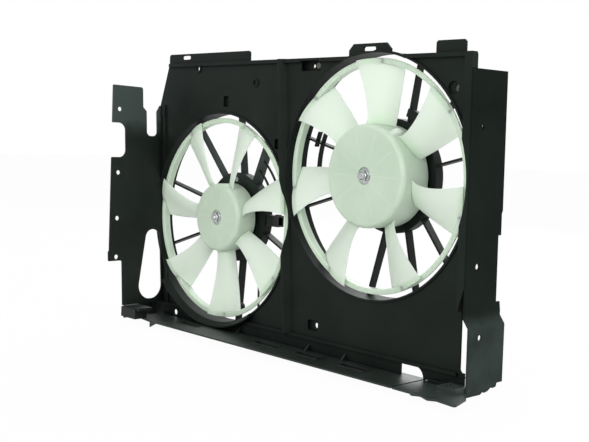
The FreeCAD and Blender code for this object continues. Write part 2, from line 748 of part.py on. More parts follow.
def make_lower_guide():
    top = SHEET_BOTTOM - APRON_DROP
    outline = [(SHELF_LEFT, SHELF_BACK, 0), (SHELF_LEFT, -SHELF_FRONT + SHELF_SLANT, 0)]
    outline.append((SHELF_SLANT_X, -SHELF_FRONT, 0))
    outline += [(SHELF_RIGHT, -SHELF_FRONT, 2.0), (SHELF_RIGHT, SHELF_BACK, 0)]
    shelf = level(outline, top - SHELF_T, top)
    adds = []
    cuts = []
    for x in POCKETS_X:
        half_w = POCKET_W / 2
        half_l = POCKET_L / 2
        adds.append(block(x - half_w - 1.5, x + half_w + 1.5, POCKET_Y - half_l - 1.5, POCKET_Y + half_l + 1.5,
                          top - POCKET_DEPTH - 1.5, top + 1.0))
        cuts.append(block(x - half_w, x + half_w, POCKET_Y - half_l, POCKET_Y + half_l,
                          top - POCKET_DEPTH, top + OVER))
    for x in RIB_X:
        side = [(0, top - SHELF_T / 2, 0), (0, top + RIB_H, 0), (-RIB_OUT, top - SHELF_T / 2, 0)]
        adds.append(sideways(side, x - GUSSET_T / 2, x + GUSSET_T / 2))
    tooth = [(TOOTH_X, top - SHELF_T / 2, 0), (TOOTH_X, top - TOOTH_H, 0), (TOOTH_X + TOOTH_W, top - SHELF_T / 2, 0)]
    adds.append(upright(tooth, -SHELF_FRONT, -SHELF_FRONT + SHELF_T))
    return joined(shelf, adds).cut(cuts)


def make_corner_guide():
    top = SHEET_BOTTOM - APRON_DROP
    wall_in = SHEET_RIGHT + JOGGLE_OUT
    inner = wall_in - OPENING_CLEAR
    corner_left = inner - CORNER_W
    corner_right = wall_in + GUIDE_T + CORNER_OVERHANG
    wall_front = -BORDER_H - OPENING_CLEAR
    back = PAD_REAR
    outline = [
        (corner_left, back, 0),
        (corner_left, -CORNER_FRONT, 0),
        (corner_left + 30.0, -CORNER_FRONT, 0),
        (corner_left + 38.0, -CORNER_FRONT - 6.0, 3.0),
        (corner_left + 48.0, -CORNER_FRONT, 3.0),
        (corner_left + 66.0, -CORNER_FRONT - 8.0, 3.0),
        (corner_left + 76.0, -CORNER_FRONT - 2.0, 3.0),
        (corner_right, -CORNER_FRONT - 6.0, 3.0),
        (corner_right - CORNER_SLANT, -CORNER_REAR, 0),
        (wall_in + GUIDE_T, wall_front, 0),
        (inner, wall_front, 0),
        (inner, back, 0),
    ]
    plate = level(outline, top - SHELF_T, top)
    pad_x = inner - PAD_W
    pad = block(pad_x, inner, -PAD_FRONT, back, top - SHELF_T / 2, top + PAD_H - 4.0)
    step = block(pad_x, inner, -PAD_FRONT, 0, top - SHELF_T / 2, top + PAD_H)
    slots = []
    for offset in (8.0, 18.0):
        y = -PAD_FRONT + offset
        slots.append(block(pad_x + 8.0, wall_in - 8.0, y, y + PAD_SLOT_W, top + 1.0, top + PAD_H + OVER))
    return joined(plate, [pad, step]).cut(slots)


def make_left_foot():
    """Moulded foot under the left guide's front corner, with a peg for its rubber sleeve."""
    top = GUIDE_BOTTOM - 2.0
    x0 = FOOT_X - FOOT_W / 2
    x1 = FOOT_X + FOOT_W / 2
    y0 = FOOT_Y - FOOT_L / 2
    y1 = FOOT_Y + FOOT_L / 2
    foot = block(x0, x1, y0, y1, top - FOOT_H, top)
    flange = block(x0 + 3.0, x1 + 8.0, y0 + 2.0, y1 + 6.0, top - 3.0, top + 2.0)
    shape = joined(foot, [flange])
    hollow = Part.makeCylinder(PEG_R + SLEEVE_T, PEG_H, vec(FOOT_X, FOOT_Y, top - FOOT_H - 1.0))
    return shape.cut(hollow).fuse(Part.makeCylinder(PEG_R, FOOT_H, vec(FOOT_X, FOOT_Y, top - FOOT_H)))


def blade_section(fan, share):
    """Closed crescent section of a blade at a share of the way from hub to ring."""
    bow = BLADE_BOW * math.sin(math.pi * math.sqrt(share))
    lead = bow if fan.tip_span > 0 else -bow
    span = fan.root_span * (1 - share) + fan.tip_span * share - lead
    front = fan.blade_front + ROOT_SET_BACK * (1 - share)
    rear = fan.blade_front + fan.blade_depth + ROOT_EXTRA_DEPTH * (1 - share)
    root = fan.hub - 0.5
    radius = root + (fan.lip - root) * share
    half = radius * math.radians(span) / 2
    reach = math.sqrt(radius * radius - half * half) if share == 0 else radius
    middle = math.radians(fan.blade_start + lead + span / 2)
    radial = vec(math.cos(middle), 0, math.sin(middle))
    across = vec(-math.sin(middle), 0, math.cos(middle))
    centre = vec(fan.x, (front + rear) / 2, fan.z) + radial * reach
    chord = across * half + Y_AXIS * ((rear - front) / 2)
    normal = chord.cross(radial)
    normal.normalize()
    if normal.y > 0:
        normal = normal * -1
    camber = normal * BLADE_CAMBER
    edge = normal * (BLADE_EDGE_T / 2)
    thick = normal * (BLADE_T / 2)
    upper = Part.Arc(centre - chord + edge, centre + camber + thick, centre + chord + edge).toShape()
    lower = Part.Arc(centre + chord - edge, centre + camber - thick, centre - chord - edge).toShape()
    tail = Part.makeLine(centre + chord + edge, centre + chord - edge)
    nose = Part.makeLine(centre - chord - edge, centre - chord + edge)
    return Part.Wire([upper, tail, lower, nose])


def make_fan(fan):
    """One moulded fan: cup hub, inner ribs, cambered blades and an L-shaped ring."""
    front = fan.hub_front
    rear = fan.hub_rear
    cup_in = fan.hub - HUB_WALL
    hub = turned(fan.x, fan.z, [
        (0.5, front, 0), (fan.hub - HUB_EDGE, front, 0), (fan.hub, front + HUB_EDGE, 0), (fan.hub, rear, 0),
        (cup_in, rear, 0), (cup_in, front + HUB_WALL, 0), (0.5, front + HUB_WALL, 0)])
    boss = disc(fan.x, fan.z, BOSS_R, front, fan.boss_rear)
    parts = [boss]
    rib = block(BOSS_R - 1.0, cup_in + 0.5, front + HUB_WALL - 0.2, front + HUB_WALL + HUB_RIB_DEPTH,
                -HUB_RIB_T / 2, HUB_RIB_T / 2)
    rib.translate(vec(fan.x, 0, fan.z))
    for i in range(HUB_RIBS):
        parts.append(around(rib, fan.x, fan.z, i * 360.0 / HUB_RIBS))
    sections = [blade_section(fan, share) for share in BLADE_SHARES]
    blade = Part.makeLoft(sections, True, True)
    blade = blade.common(tube(fan.x, fan.z, fan.lip - 1.0, cup_in + 0.2, front - 30.0, rear + 30.0))
    for i in range(BLADES):
        parts.append(around(blade, fan.x, fan.z, i * 360.0 / BLADES))
    ring_rear = RING_FRONT + RING_DEPTH
    parts.append(turned(fan.x, fan.z, [
        (fan.band, RING_FRONT, 0), (fan.lip, RING_FRONT, 0), (fan.lip, RING_FRONT + RING_T, 0),
        (fan.band + RING_T, RING_FRONT + RING_T, 0), (fan.band + RING_T, ring_rear, 0), (fan.band, ring_rear, 0)]))
    shape = joined(hub, parts)
    bore = disc(fan.x, fan.z, fan.shaft + FIT, front - OVER, rear)
    counterbore = disc(fan.x, fan.z, COUNTERBORE_R, front - OVER, fan.seat)
    return shape.cut([bore, counterbore])


def hexagon(x, z, across, y0, y1):
    radius = across / 2 / math.cos(math.radians(30))
    corners = [polar(x, z, radius, 60 * i + 12) for i in range(6)]
    return upright(square(corners), y0, y1)


def make_nut(fan):
    rear = fan.seat - WASHER_T
    front = rear - NUT_H
    flats = hexagon(fan.x, fan.z, NUT_ACROSS, front, rear)
    flange = disc(fan.x, fan.z, NUT_ACROSS / 2 + 1.2, rear - 1.5, rear)
    bore = disc(fan.x, fan.z, fan.shaft + FIT, front - OVER, rear + OVER)
    return flats.fuse(flange).cut(bore)


def make_washer(fan):
    return tube(fan.x, fan.z, WASHER_R, fan.shaft + FIT, fan.seat - WASHER_T, fan.seat)


def make_shaft(fan):
    front = fan.seat - WASHER_T - NUT_H - SHAFT_END
    rear = fan.case_rear + CAP_T + BEARING_L - 2.0
    return turned(fan.x, fan.z, [(0, front, 0), (fan.shaft - 1, front, 0), (fan.shaft, front + 1, 0),
                                 (fan.shaft, rear, 0), (0, rear, 0)])


def make_armature(fan):
    """Laminated core with open slots, pressed on the shaft."""
    core = tube(fan.x, fan.z, fan.core_r, fan.shaft, fan.core_y, fan.core_y + CORE_L)
    slot = block(fan.core_r * 0.55, fan.core_r + OVER, fan.core_y - OVER, fan.core_y + CORE_L + OVER,
                 -CORE_SLOT_W / 2, CORE_SLOT_W / 2)
    slot.translate(vec(fan.x, 0, fan.z))
    return core.cut([around(slot, fan.x, fan.z, i * 360.0 / CORE_SLOTS) for i in range(CORE_SLOTS)])


def make_commutator(fan):
    return tube(fan.x, fan.z, COMMUTATOR_R, fan.shaft, fan.comm_y, fan.comm_y + COMMUTATOR_L)


def make_case(fan):
    """Drawn steel case, closed at the front round the bearing seat, with three ears."""
    front = fan.case_front
    seat = BEARING_R + SEAT_T
    profile = [
        (BEARING_R, front, 0), (fan.case - CASE_EDGE, front, 0), (fan.case, front + CASE_EDGE, 0),
        (fan.case, fan.case_rear, 0), (fan.bore, fan.case_rear, 0), (fan.bore, front + CASE_EDGE, 0),
        (fan.bore - CASE_EDGE + CASE_T, front + CASE_T, 0), (seat, front + CASE_T, 0),
        (seat, front + BEARING_L, 0), (BEARING_R, front + BEARING_L, 0)]
    shell = turned(fan.x, fan.z, profile)
    ears = []
    for i in range(EARS):
        ex, ez = polar(fan.x, fan.z, fan.screw_r, EAR_START + i * 360.0 / EARS)
        ears.append(disc(ex, ez, EAR_R, fan.ear_y, fan.ear_y + EAR_T))
        web = block(fan.bore + CASE_T / 2, fan.screw_r, fan.ear_y, fan.ear_y + EAR_T, -EAR_R, EAR_R)
        web.translate(vec(fan.x, 0, fan.z))
        ears.append(around(web, fan.x, fan.z, EAR_START + i * 360.0 / EARS))
    holes = [disc(*polar(fan.x, fan.z, fan.screw_r, EAR_START + i * 360.0 / EARS), SCREW_R + 0.2,
                  fan.ear_y - OVER, fan.ear_y + EAR_T + OVER) for i in range(EARS)]
    return joined(shell, ears).cut(holes)


def make_end_cap(fan):
    """Rear cover with the second bearing seat and a spigot in the case."""
    rear = fan.case_rear
    seat = BEARING_R + SEAT_T
    profile = [
        (BEARING_R, rear, 0), (fan.bore - 3.0, rear, 0), (fan.bore - 3.0, rear - CAP_SPIGOT, 0),
        (fan.bore, rear - CAP_SPIGOT, 0), (fan.bore, rear, 0), (fan.case, rear, 0), (fan.case, rear + CAP_T, 0),
        (seat, rear + CAP_T, 0), (seat, rear + BEARING_L + CAP_T, 0), (fan.shaft + 1.0, rear + BEARING_L + CAP_T, 0),
        (fan.shaft + 1.0, rear + BEARING_L, 0), (BEARING_R, rear + BEARING_L, 0)]
    return turned(fan.x, fan.z, profile)


def make_bearing(fan, y):
    return tube(fan.x, fan.z, BEARING_R, fan.shaft + FIT, y, y + BEARING_L)


def make_magnets(fan):
    """Four ferrite arcs against the wall of the case."""
    inner = fan.bore - MAGNET_T
    y0 = fan.core_y - 1.0
    y1 = fan.core_y + CORE_L + 1.0
    profile = square([(inner, y0), (fan.bore, y0), (fan.bore, y1), (inner, y1)])
    arcs = []
    for i in range(MAGNETS):
        start = i * 360.0 / MAGNETS + 45.0 - MAGNET_SWEEP / 2
        arcs.append(turned(fan.x, fan.z, profile, start, MAGNET_SWEEP))
    return Part.Compound(arcs)


def make_brush_card(fan):
    y = fan.comm_y + 1.2
    card = tube(fan.x, fan.z, fan.bore, COMMUTATOR_R + BRUSH_L + 3.0, y, y + CARD_T)
    arms = []
    for angle in (90.0, 270.0):
        arm = block(COMMUTATOR_R + 2.0, fan.bore - 2.0, y, y + CARD_T, -BRUSH_W, BRUSH_W)
        arm.translate(vec(fan.x, 0, fan.z))
        arms.append(around(arm, fan.x, fan.z, angle))
    return joined(card, arms)


def make_brushes(fan):
    y0 = fan.comm_y + 1.2 + CARD_T
    pair = []
    for angle in (90.0, 270.0):
        brush = block(COMMUTATOR_R + 0.3, COMMUTATOR_R + BRUSH_L, y0, y0 + BRUSH_W, -BRUSH_W / 2, BRUSH_W / 2)
        brush.translate(vec(fan.x, 0, fan.z))
        pair.append(around(brush, fan.x, fan.z, angle))
    return Part.Compound(pair)


def make_motor_screws(fan):
    screws = []
    head_y = fan.ear_y + EAR_T
    for i in range(EARS):
        sx, sz = polar(fan.x, fan.z, fan.screw_r, EAR_START + i * 360.0 / EARS)
        shank = disc(sx, sz, SCREW_R, fan.plate + 1.0, head_y)
        head = disc(sx, sz, SCREW_HEAD_R, head_y, head_y + SCREW_HEAD_H)
        screws.append(shank.fuse(head).removeSplitter())
    return Part.Compound(screws)


def vane(fan, angle, thickness, depth):
    """One thin vane from the motor ring to the barrel's inner wall."""
    inner = fan.ring - CARRIER_WALL / 2
    outer = fan.opening + OVER
    ring_rear = fan.plate + CARRIER_DEPTH
    shape = square([(inner, ring_rear - depth - 2.0), (outer, fan.barrel - 1.0 - depth),
                    (outer, fan.barrel - 1.0), (inner, ring_rear)])
    blank = prism(shape, lambda r, y: vec(fan.x + r, y, fan.z - thickness / 2), vec(0, 0, thickness))
    return around(blank, fan.x, fan.z, angle)


def make_carrier(fan):
    """Ring round the motor, its plate with screw holes, and the vanes to the barrel."""
    front = fan.plate
    ring = tube(fan.x, fan.z, fan.ring, fan.ring - CARRIER_WALL, front, front + CARRIER_DEPTH)
    parts = [tube(fan.x, fan.z, fan.ring - CARRIER_WALL / 2, fan.case + CASE_CLEAR, front, front + CARRIER_PLATE)]
    cuts = []
    for angle in fan.vanes:
        parts.append(vane(fan, angle, VANE_T, VANE_DEPTH))
    if fan.side == "left":
        parts.append(vane(fan, TRAY_ANGLE, TRAY_W, VANE_DEPTH))
        groove = vane(fan, TRAY_ANGLE, TRAY_W - 2 * TRAY_WALL, VANE_DEPTH)
        groove.translate(vec(0, TRAY_WALL, 0))
        outside = disc(fan.x, fan.z, fan.ring, front - OVER, front + CARRIER_DEPTH + 2 * OVER)
        cuts.append(groove.cut(outside))
        bx, bz = polar(fan.x, fan.z, VANE_BOSS_R, VANE_BOSS_ANGLE)
        parts.append(disc(bx, bz, VANE_BOSS_W / 2, fan.barrel - VANE_DEPTH + 2.0, fan.barrel + 2.0))
    else:
        for radius, start, sweep in ((143.0, 156.0, 22.0), (155.0, 157.0, 9.0)):
            y1 = fan.barrel
            bar = square([(radius - 1.2, y1 - 8.0), (radius + 1.2, y1 - 8.0), (radius + 1.2, y1), (radius - 1.2, y1)])
            parts.append(turned(fan.x, fan.z, bar, start, sweep))
        clip = block(CLIP_R - CLIP_W / 2, CLIP_R + CLIP_W / 2, fan.barrel - 4.0, fan.barrel + 7.0, -CLIP_REACH, 0)
        clip.translate(vec(fan.x, 0, fan.z))
        parts.append(around(clip, fan.x, fan.z, CLIP_VANE))
    whole = joined(ring, parts)
    whole = whole.common(disc(fan.x, fan.z, fan.opening, -BORDER_H, front + 4 * CARRIER_DEPTH))
    for i in range(EARS):
        sx, sz = polar(fan.x, fan.z, fan.screw_r, EAR_START + i * 360.0 / EARS)
        cuts.append(disc(sx, sz, SCREW_R, front - OVER, front + CARRIER_PLATE + OVER))
    return whole.cut(cuts)


def make_plug(fan):
    """Connector housing on the carrier ring, with an open socket and a latch rib."""
    y0 = fan.plate + 2.0
    inner = fan.ring - OVER
    outer = fan.ring + PLUG_L
    body = block(inner, outer, y0, y0 + PLUG_H, -PLUG_W / 2, PLUG_W / 2)
    latch = block(fan.ring + 6.0, outer - 4.0, y0 + PLUG_H, y0 + PLUG_H + 2.0, -LATCH_W / 2, LATCH_W / 2)
    socket = block(outer - PLUG_SOCKET, outer + OVER, y0 + PLUG_WALL, y0 + PLUG_H - PLUG_WALL,
                   -PLUG_W / 2 + PLUG_WALL, PLUG_W / 2 - PLUG_WALL)
    shape = joined(body, [latch]).cut(socket)
    shape.translate(vec(fan.x, 0, fan.z))
    shape = around(shape, fan.x, fan.z, fan.plug_angle)
    return shape.cut(disc(fan.x, fan.z, fan.ring, y0 - 2 * OVER, y0 + PLUG_H + 2 * OVER))


def make_lead(fan):
    """Short sleeve of the lead, from the motor ring towards the barrel, with one bend."""
    y_in = fan.plate + CARRIER_DEPTH / 2
    y_out = fan.barrel - 5.0
    points = []
    for radius, angle, y in ((fan.ring, LEAD_ANGLE + 6.0, y_in), (fan.ring + 35.0, LEAD_ANGLE + 3.0, y_in),
                             (fan.opening - LEAD_SHORT, LEAD_ANGLE, y_out)):
        px, pz = polar(fan.x, fan.z, radius, angle)
        points.append(vec(px, y, pz))
    first = points[1] - points[0]
    second = points[2] - points[1]
    runs = [Part.makeCylinder(LEAD_R, first.Length, points[0], first)]
    runs.append(Part.makeCylinder(LEAD_R, second.Length, points[1], second))
    runs.append(Part.makeSphere(LEAD_R, points[1]))
    return joined(runs[0], runs[1:])


def make_wire_clip():
    """Push-in clip in the recess at the top, for the wiring."""
    x = WIRE_RECESS[0] + WIRE_RECESS_W / 2 - CLIP_HEAD_R - 1.0
    z = WIRE_RECESS[1]
    head_rear = WIRE_RECESS_DEPTH - CLIP_STEM_L
    stem = disc(x, z, CLIP_STEM_R, head_rear, WIRE_RECESS_DEPTH)
    head = disc(x, z, CLIP_HEAD_R, head_rear - CLIP_HEAD_H, head_rear)
    return stem.fuse(head).removeSplitter()


os.makedirs("parts", exist_ok=True)
LEFT = FanSet("left")
RIGHT = FanSet("right")
save("fan_shroud", make_shroud(LEFT, RIGHT))
save("left_side_guide", make_left_guide(LEFT))
save("right_side_guide", make_right_guide())
save("lower_air_guide", make_lower_guide())
save("lower_corner_guide", make_corner_guide())
save("left_foot", make_left_foot())
save("wire_clip", make_wire_clip())
save("motor_lead_left", make_lead(LEFT))
for FAN in (LEFT, RIGHT):
    SIDE = "_" + FAN.side
    save("fan" + SIDE, make_fan(FAN))
    save("fan_nut" + SIDE, make_nut(FAN))
    save("fan_washer" + SIDE, make_washer(FAN))
    save("motor_shaft" + SIDE, make_shaft(FAN))
    save("armature_core" + SIDE, make_armature(FAN))
    save("commutator" + SIDE, make_commutator(FAN))
    save("motor_case" + SIDE, make_case(FAN))
    save("motor_end_cap" + SIDE, make_end_cap(FAN))
    save("front_bearing" + SIDE, make_bearing(FAN, FAN.case_front))
    save("rear_bearing" + SIDE, make_bearing(FAN, FAN.case_rear))
    save("field_magnets" + SIDE, make_magnets(FAN))
    save("brush_card" + SIDE, make_brush_card(FAN))
    save("carbon_brushes" + SIDE, make_brushes(FAN))
    save("motor_screws" + SIDE, make_motor_screws(FAN))
    save("motor_carrier" + SIDE, make_carrier(FAN))
    save("motor_plug" + SIDE, make_plug(FAN))
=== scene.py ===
import math

import bmesh
import bpy
from mathutils import Matrix, Vector


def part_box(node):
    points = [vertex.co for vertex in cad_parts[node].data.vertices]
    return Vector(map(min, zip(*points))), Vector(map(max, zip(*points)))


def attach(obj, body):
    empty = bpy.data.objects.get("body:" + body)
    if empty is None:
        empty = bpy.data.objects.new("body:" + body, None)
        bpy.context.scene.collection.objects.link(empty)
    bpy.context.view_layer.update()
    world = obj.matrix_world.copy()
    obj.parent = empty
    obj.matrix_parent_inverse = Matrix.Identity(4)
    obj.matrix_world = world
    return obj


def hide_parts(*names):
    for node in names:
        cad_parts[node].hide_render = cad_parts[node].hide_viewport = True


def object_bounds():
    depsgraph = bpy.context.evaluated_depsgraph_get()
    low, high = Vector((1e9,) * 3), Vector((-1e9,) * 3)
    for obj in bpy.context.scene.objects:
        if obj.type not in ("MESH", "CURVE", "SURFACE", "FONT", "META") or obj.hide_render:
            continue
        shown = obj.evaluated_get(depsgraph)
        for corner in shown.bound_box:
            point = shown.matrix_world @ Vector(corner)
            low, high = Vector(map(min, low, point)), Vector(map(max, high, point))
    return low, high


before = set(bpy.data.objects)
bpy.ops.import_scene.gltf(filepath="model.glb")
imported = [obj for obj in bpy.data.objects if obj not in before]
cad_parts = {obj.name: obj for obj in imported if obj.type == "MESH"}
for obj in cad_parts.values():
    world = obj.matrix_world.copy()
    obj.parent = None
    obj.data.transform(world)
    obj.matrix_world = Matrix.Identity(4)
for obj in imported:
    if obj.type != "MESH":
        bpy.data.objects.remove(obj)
cad_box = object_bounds()


# Camera. The assembly is seen from the right front, a little above its middle,
# with a longish lens from about a metre and a half away, and a slight roll.
CAMERA_PLACE = Vector((1.2178, -1.0770, -0.1235))
CAMERA_TURN = math.radians(46.91)
CAMERA_TILT = math.radians(0.99)
CAMERA_ROLL = math.radians(1.98)
SENSOR_WIDTH = 36.0
FOCAL_PIXELS = 1021.05
IMAGE_WIDTH = 589
IMAGE_HEIGHT = 442
AXIS_ROW = 150.0
VIEW_REACH = 50.0

back = Vector((math.sin(CAMERA_TURN) * math.cos(CAMERA_TILT),
               -math.cos(CAMERA_TURN) * math.cos(CAMERA_TILT), math.sin(CAMERA_TILT)))
level_right = Vector((math.cos(CAMERA_TURN), math.sin(CAMERA_TURN), 0.0))
level_up = back.cross(level_right)
right = level_right * math.cos(CAMERA_ROLL) + level_up * math.sin(CAMERA_ROLL)
up = level_up * math.cos(CAMERA_ROLL) - level_right * math.sin(CAMERA_ROLL)
camera_data = bpy.data.cameras.new("studio_camera")
camera_data.sensor_width = SENSOR_WIDTH
camera_data.lens = SENSOR_WIDTH * FOCAL_PIXELS / IMAGE_WIDTH
camera_data.shift_y = (AXIS_ROW - IMAGE_HEIGHT / 2) / IMAGE_WIDTH
camera_data.clip_end = VIEW_REACH
camera = bpy.data.objects.new("studio_camera", camera_data)
bpy.context.scene.collection.objects.link(camera)
camera.matrix_world = Matrix(((right.x, up.x, back.x, CAMERA_PLACE.x),
                              (right.y, up.y, back.y, CAMERA_PLACE.y),
                              (right.z, up.z, back.z, CAMERA_PLACE.z),
                              (0, 0, 0, 1)))
bpy.context.scene.camera = camera
bpy.context.scene.view_settings.view_transform = "Standard"


# Studio. White paper under the feet of the assembly, a white surround, and large
# soft lamps in front, at the right, above and behind, so that the pale fans glow.
FLOOR_GAP = 0.0005
FLOOR_REACH = 9.0
FLOOR_WHITE_SHARE = 0.965
PAPER_TONES = ((0.78, 0.78, 0.78, 1.0), (0.82, 0.82, 0.82, 1.0))
PAPER_CLOUDS = 3.0
PAPER_ROUGHNESS = 0.9
WHITE = (1.0, 1.0, 1.0, 1.0)
SKY = (0.93, 1.0, 0.95, 1.0)
SKY_STRENGTH = 0.55
# A lamp has a name, a place, a width and a height in metres, a power in watts and a colour.
LAMPS = (
    ("front_lamp", (0.8, -2.4, 0.7), 1.8, 1.4, 27.0, (0.95, 1.0, 0.95)),
    ("right_lamp", (2.3, -0.3, 0.5), 1.2, 1.6, 14.0, (0.93, 1.0, 0.95)),
    ("top_lamp", (0.1, -0.2, 2.0), 2.0, 1.2, 10.5, (0.95, 1.0, 0.97)),
    ("rear_lamp", (-0.7, 1.9, 0.8), 1.8, 1.6, 30.0, (0.96, 1.0, 0.97)),
)


def combined(tree, operation, first, second):
    """Maths on two terms of a node tree, each of them a socket or a number."""
    node = tree.nodes.new("ShaderNodeMath")
    node.operation = operation
    for entry, term in zip(node.inputs, (first, second)):
        if isinstance(term, (int, float)):
            entry.default_value = term
        else:
            tree.links.new(term, entry)
    return node.outputs[0]


def clouds(tree, place, scale, detail=2.0, swirl=0.0):
    """Soft noise that depends on the place, as a value between 0 and 1."""
    noise = tree.nodes.new("ShaderNodeTexNoise")
    noise.inputs["Scale"].default_value = scale
    noise.inputs["Detail"].default_value = detail
    noise.inputs["Distortion"].default_value = swirl
    tree.links.new(place, noise.inputs["Vector"])
    return noise.outputs["Fac"]


def toned(tree, value, tones, limits=(0.0, 1.0)):
    """Colour that goes from a dark tone to a pale one as a value goes from limit to limit."""
    ramp = tree.nodes.new("ShaderNodeValToRGB")
    for stop, tone, limit in zip(ramp.color_ramp.elements, tones, limits):
        stop.position = limit
        stop.color = tone
    tree.links.new(value, ramp.inputs["Fac"])
    return ramp.outputs["Color"]


def white_to_camera(tree, shader, output, share=1.0):
    """Shows white to the camera, in gloss and through clear things, and the shader to the rest.

    A share below 1 leaves a little of the shader to see, so that a shadow on it stays.
    """
    path = tree.nodes.new("ShaderNodeLightPath")
    seen = combined(tree, "MAXIMUM", path.outputs["Is Glossy Ray"], path.outputs["Is Transmission Ray"])
    seen = combined(tree, "MAXIMUM", path.outputs["Is Camera Ray"], seen)
    kind = "ShaderNodeBackground" if output.type == "OUTPUT_WORLD" else "ShaderNodeEmission"
    white = tree.nodes.new(kind)
    white.inputs["Color"].default_value = WHITE
    mix = tree.nodes.new("ShaderNodeMixShader")
    tree.links.new(combined(tree, "MULTIPLY", seen, share), mix.inputs[0])
    tree.links.new(shader, mix.inputs[1])
    tree.links.new(white.outputs[0], mix.inputs[2])
    tree.links.new(mix.outputs[0], output.inputs["Surface"])


world = bpy.data.worlds.new("studio_world")
bpy.context.scene.world = world
world.use_nodes = True
world.node_tree.nodes.clear()
world_output = world.node_tree.nodes.new("ShaderNodeOutputWorld")
sky = world.node_tree.nodes.new("ShaderNodeBackground")
sky.inputs["Color"].default_value = SKY
sky.inputs["Strength"].default_value = SKY_STRENGTH
white_to_camera(world.node_tree, sky.outputs[0], world_output)

floor_mesh = bpy.data.meshes.new("studio_floor")
floor_z = cad_box[0][2] - FLOOR_GAP
floor_corners = [(x * FLOOR_REACH, y * FLOOR_REACH, floor_z) for x, y in ((-1, -1), (1, -1), (1, 1), (-1, 1))]
floor_mesh.from_pydata(floor_corners, [], [(0, 1, 2, 3)])
floor = bpy.data.objects.new("studio_floor", floor_mesh)
bpy.context.scene.collection.objects.link(floor)
floor_material = bpy.data.materials.new("studio_floor_paper")
floor_material.use_nodes = True
floor_tree = floor_material.node_tree
floor_tree.nodes.clear()
floor_output = floor_tree.nodes.new("ShaderNodeOutputMaterial")
paper = floor_tree.nodes.new("ShaderNodeBsdfPrincipled")
paper.inputs["Roughness"].default_value = PAPER_ROUGHNESS
paper_place = floor_tree.nodes.new("ShaderNodeTexCoord").outputs["Object"]
paper_tone = toned(floor_tree, clouds(floor_tree, paper_place, PAPER_CLOUDS), PAPER_TONES)
floor_tree.links.new(paper_tone, paper.inputs["Base Color"])
white_to_camera(floor_tree, paper.outputs[0], floor_output, FLOOR_WHITE_SHARE)
floor_mesh.materials.append(floor_material)


def soft_lamp(name, place, aim, width, height, power, colour):
    """A large rectangular lamp that points at the object."""
    lamp_data = bpy.data.lights.new(name, "AREA")
    lamp_data.shape = "RECTANGLE"
    lamp_data.size = width
    lamp_data.size_y = height
    lamp_data.energy = power
    lamp_data.color = colour
    lamp = bpy.data.objects.new(name, lamp_data)
    lamp.location = place
    lamp.rotation_euler = (aim - Vector(place)).to_track_quat("-Z", "Y").to_euler()
    bpy.context.scene.collection.objects.link(lamp)


middle = (Vector(cad_box[0]) + Vector(cad_box[1])) / 2
for lamp_name, lamp_place, *lamp_facts in LAMPS:
    soft_lamp(lamp_name, lamp_place, middle, *lamp_facts)


# Shroud. One injection moulding of black glass-filled plastic, with round openings,
# barrels behind them, recesses and slotted tabs. Its surface is satin, with faint
# tones where the plastic flowed, and its edges are rounded by the mould.
MM = 0.001
SHROUD_TONES = ((0.0050, 0.0077, 0.0062, 1.0), (0.0106, 0.0151, 0.0124, 1.0))
SHROUD_GRAIN = 1.1 * MM
SHROUD_ROUGH = (0.44, 0.60)
SHROUD_RELIEF = 0.22
SHROUD_SHINE = 0.11
EDGE_ROUND = 1.3 * MM
EDGE_SAMPLES = 4
# Painted shade: recesses and corners are darkened in the base colour, found by ambient occlusion within this
# reach, down to the least light share.
PAINTED_SHADE_REACH = 14.0 * MM
PAINTED_SHADE_SAMPLES = 6
PAINTED_SHADE_LIMITS = (0.35, 0.85)
PAINTED_SHADE_LEAST_LIGHT = 0.25
FLOW_SCALE = 9.0
FLOW_DETAIL = 4.0
FLOW_SWIRL = 0.6
FLOW_LIMITS = (0.32, 0.72)
GRAIN_HEIGHT = 0.3 * MM
PLAIN_SHINE = 0.5
MERGE_WITHIN = 0.002 * MM
FLAT_WITHIN = 0.2
CREASE = 32.0


def spread(tree, value, source, result, smooth=False):
    """Carries a value that runs between two source limits over to two other limits."""
    span = tree.nodes.new("ShaderNodeMapRange")
    span.interpolation_type = "SMOOTHSTEP" if smooth else "LINEAR"
    for label, limit in zip(("From Min", "From Max", "To Min", "To Max"), (*source, *result)):
        span.inputs[label].default_value = limit
    tree.links.new(value, span.inputs["Value"])
    return span.outputs["Result"]


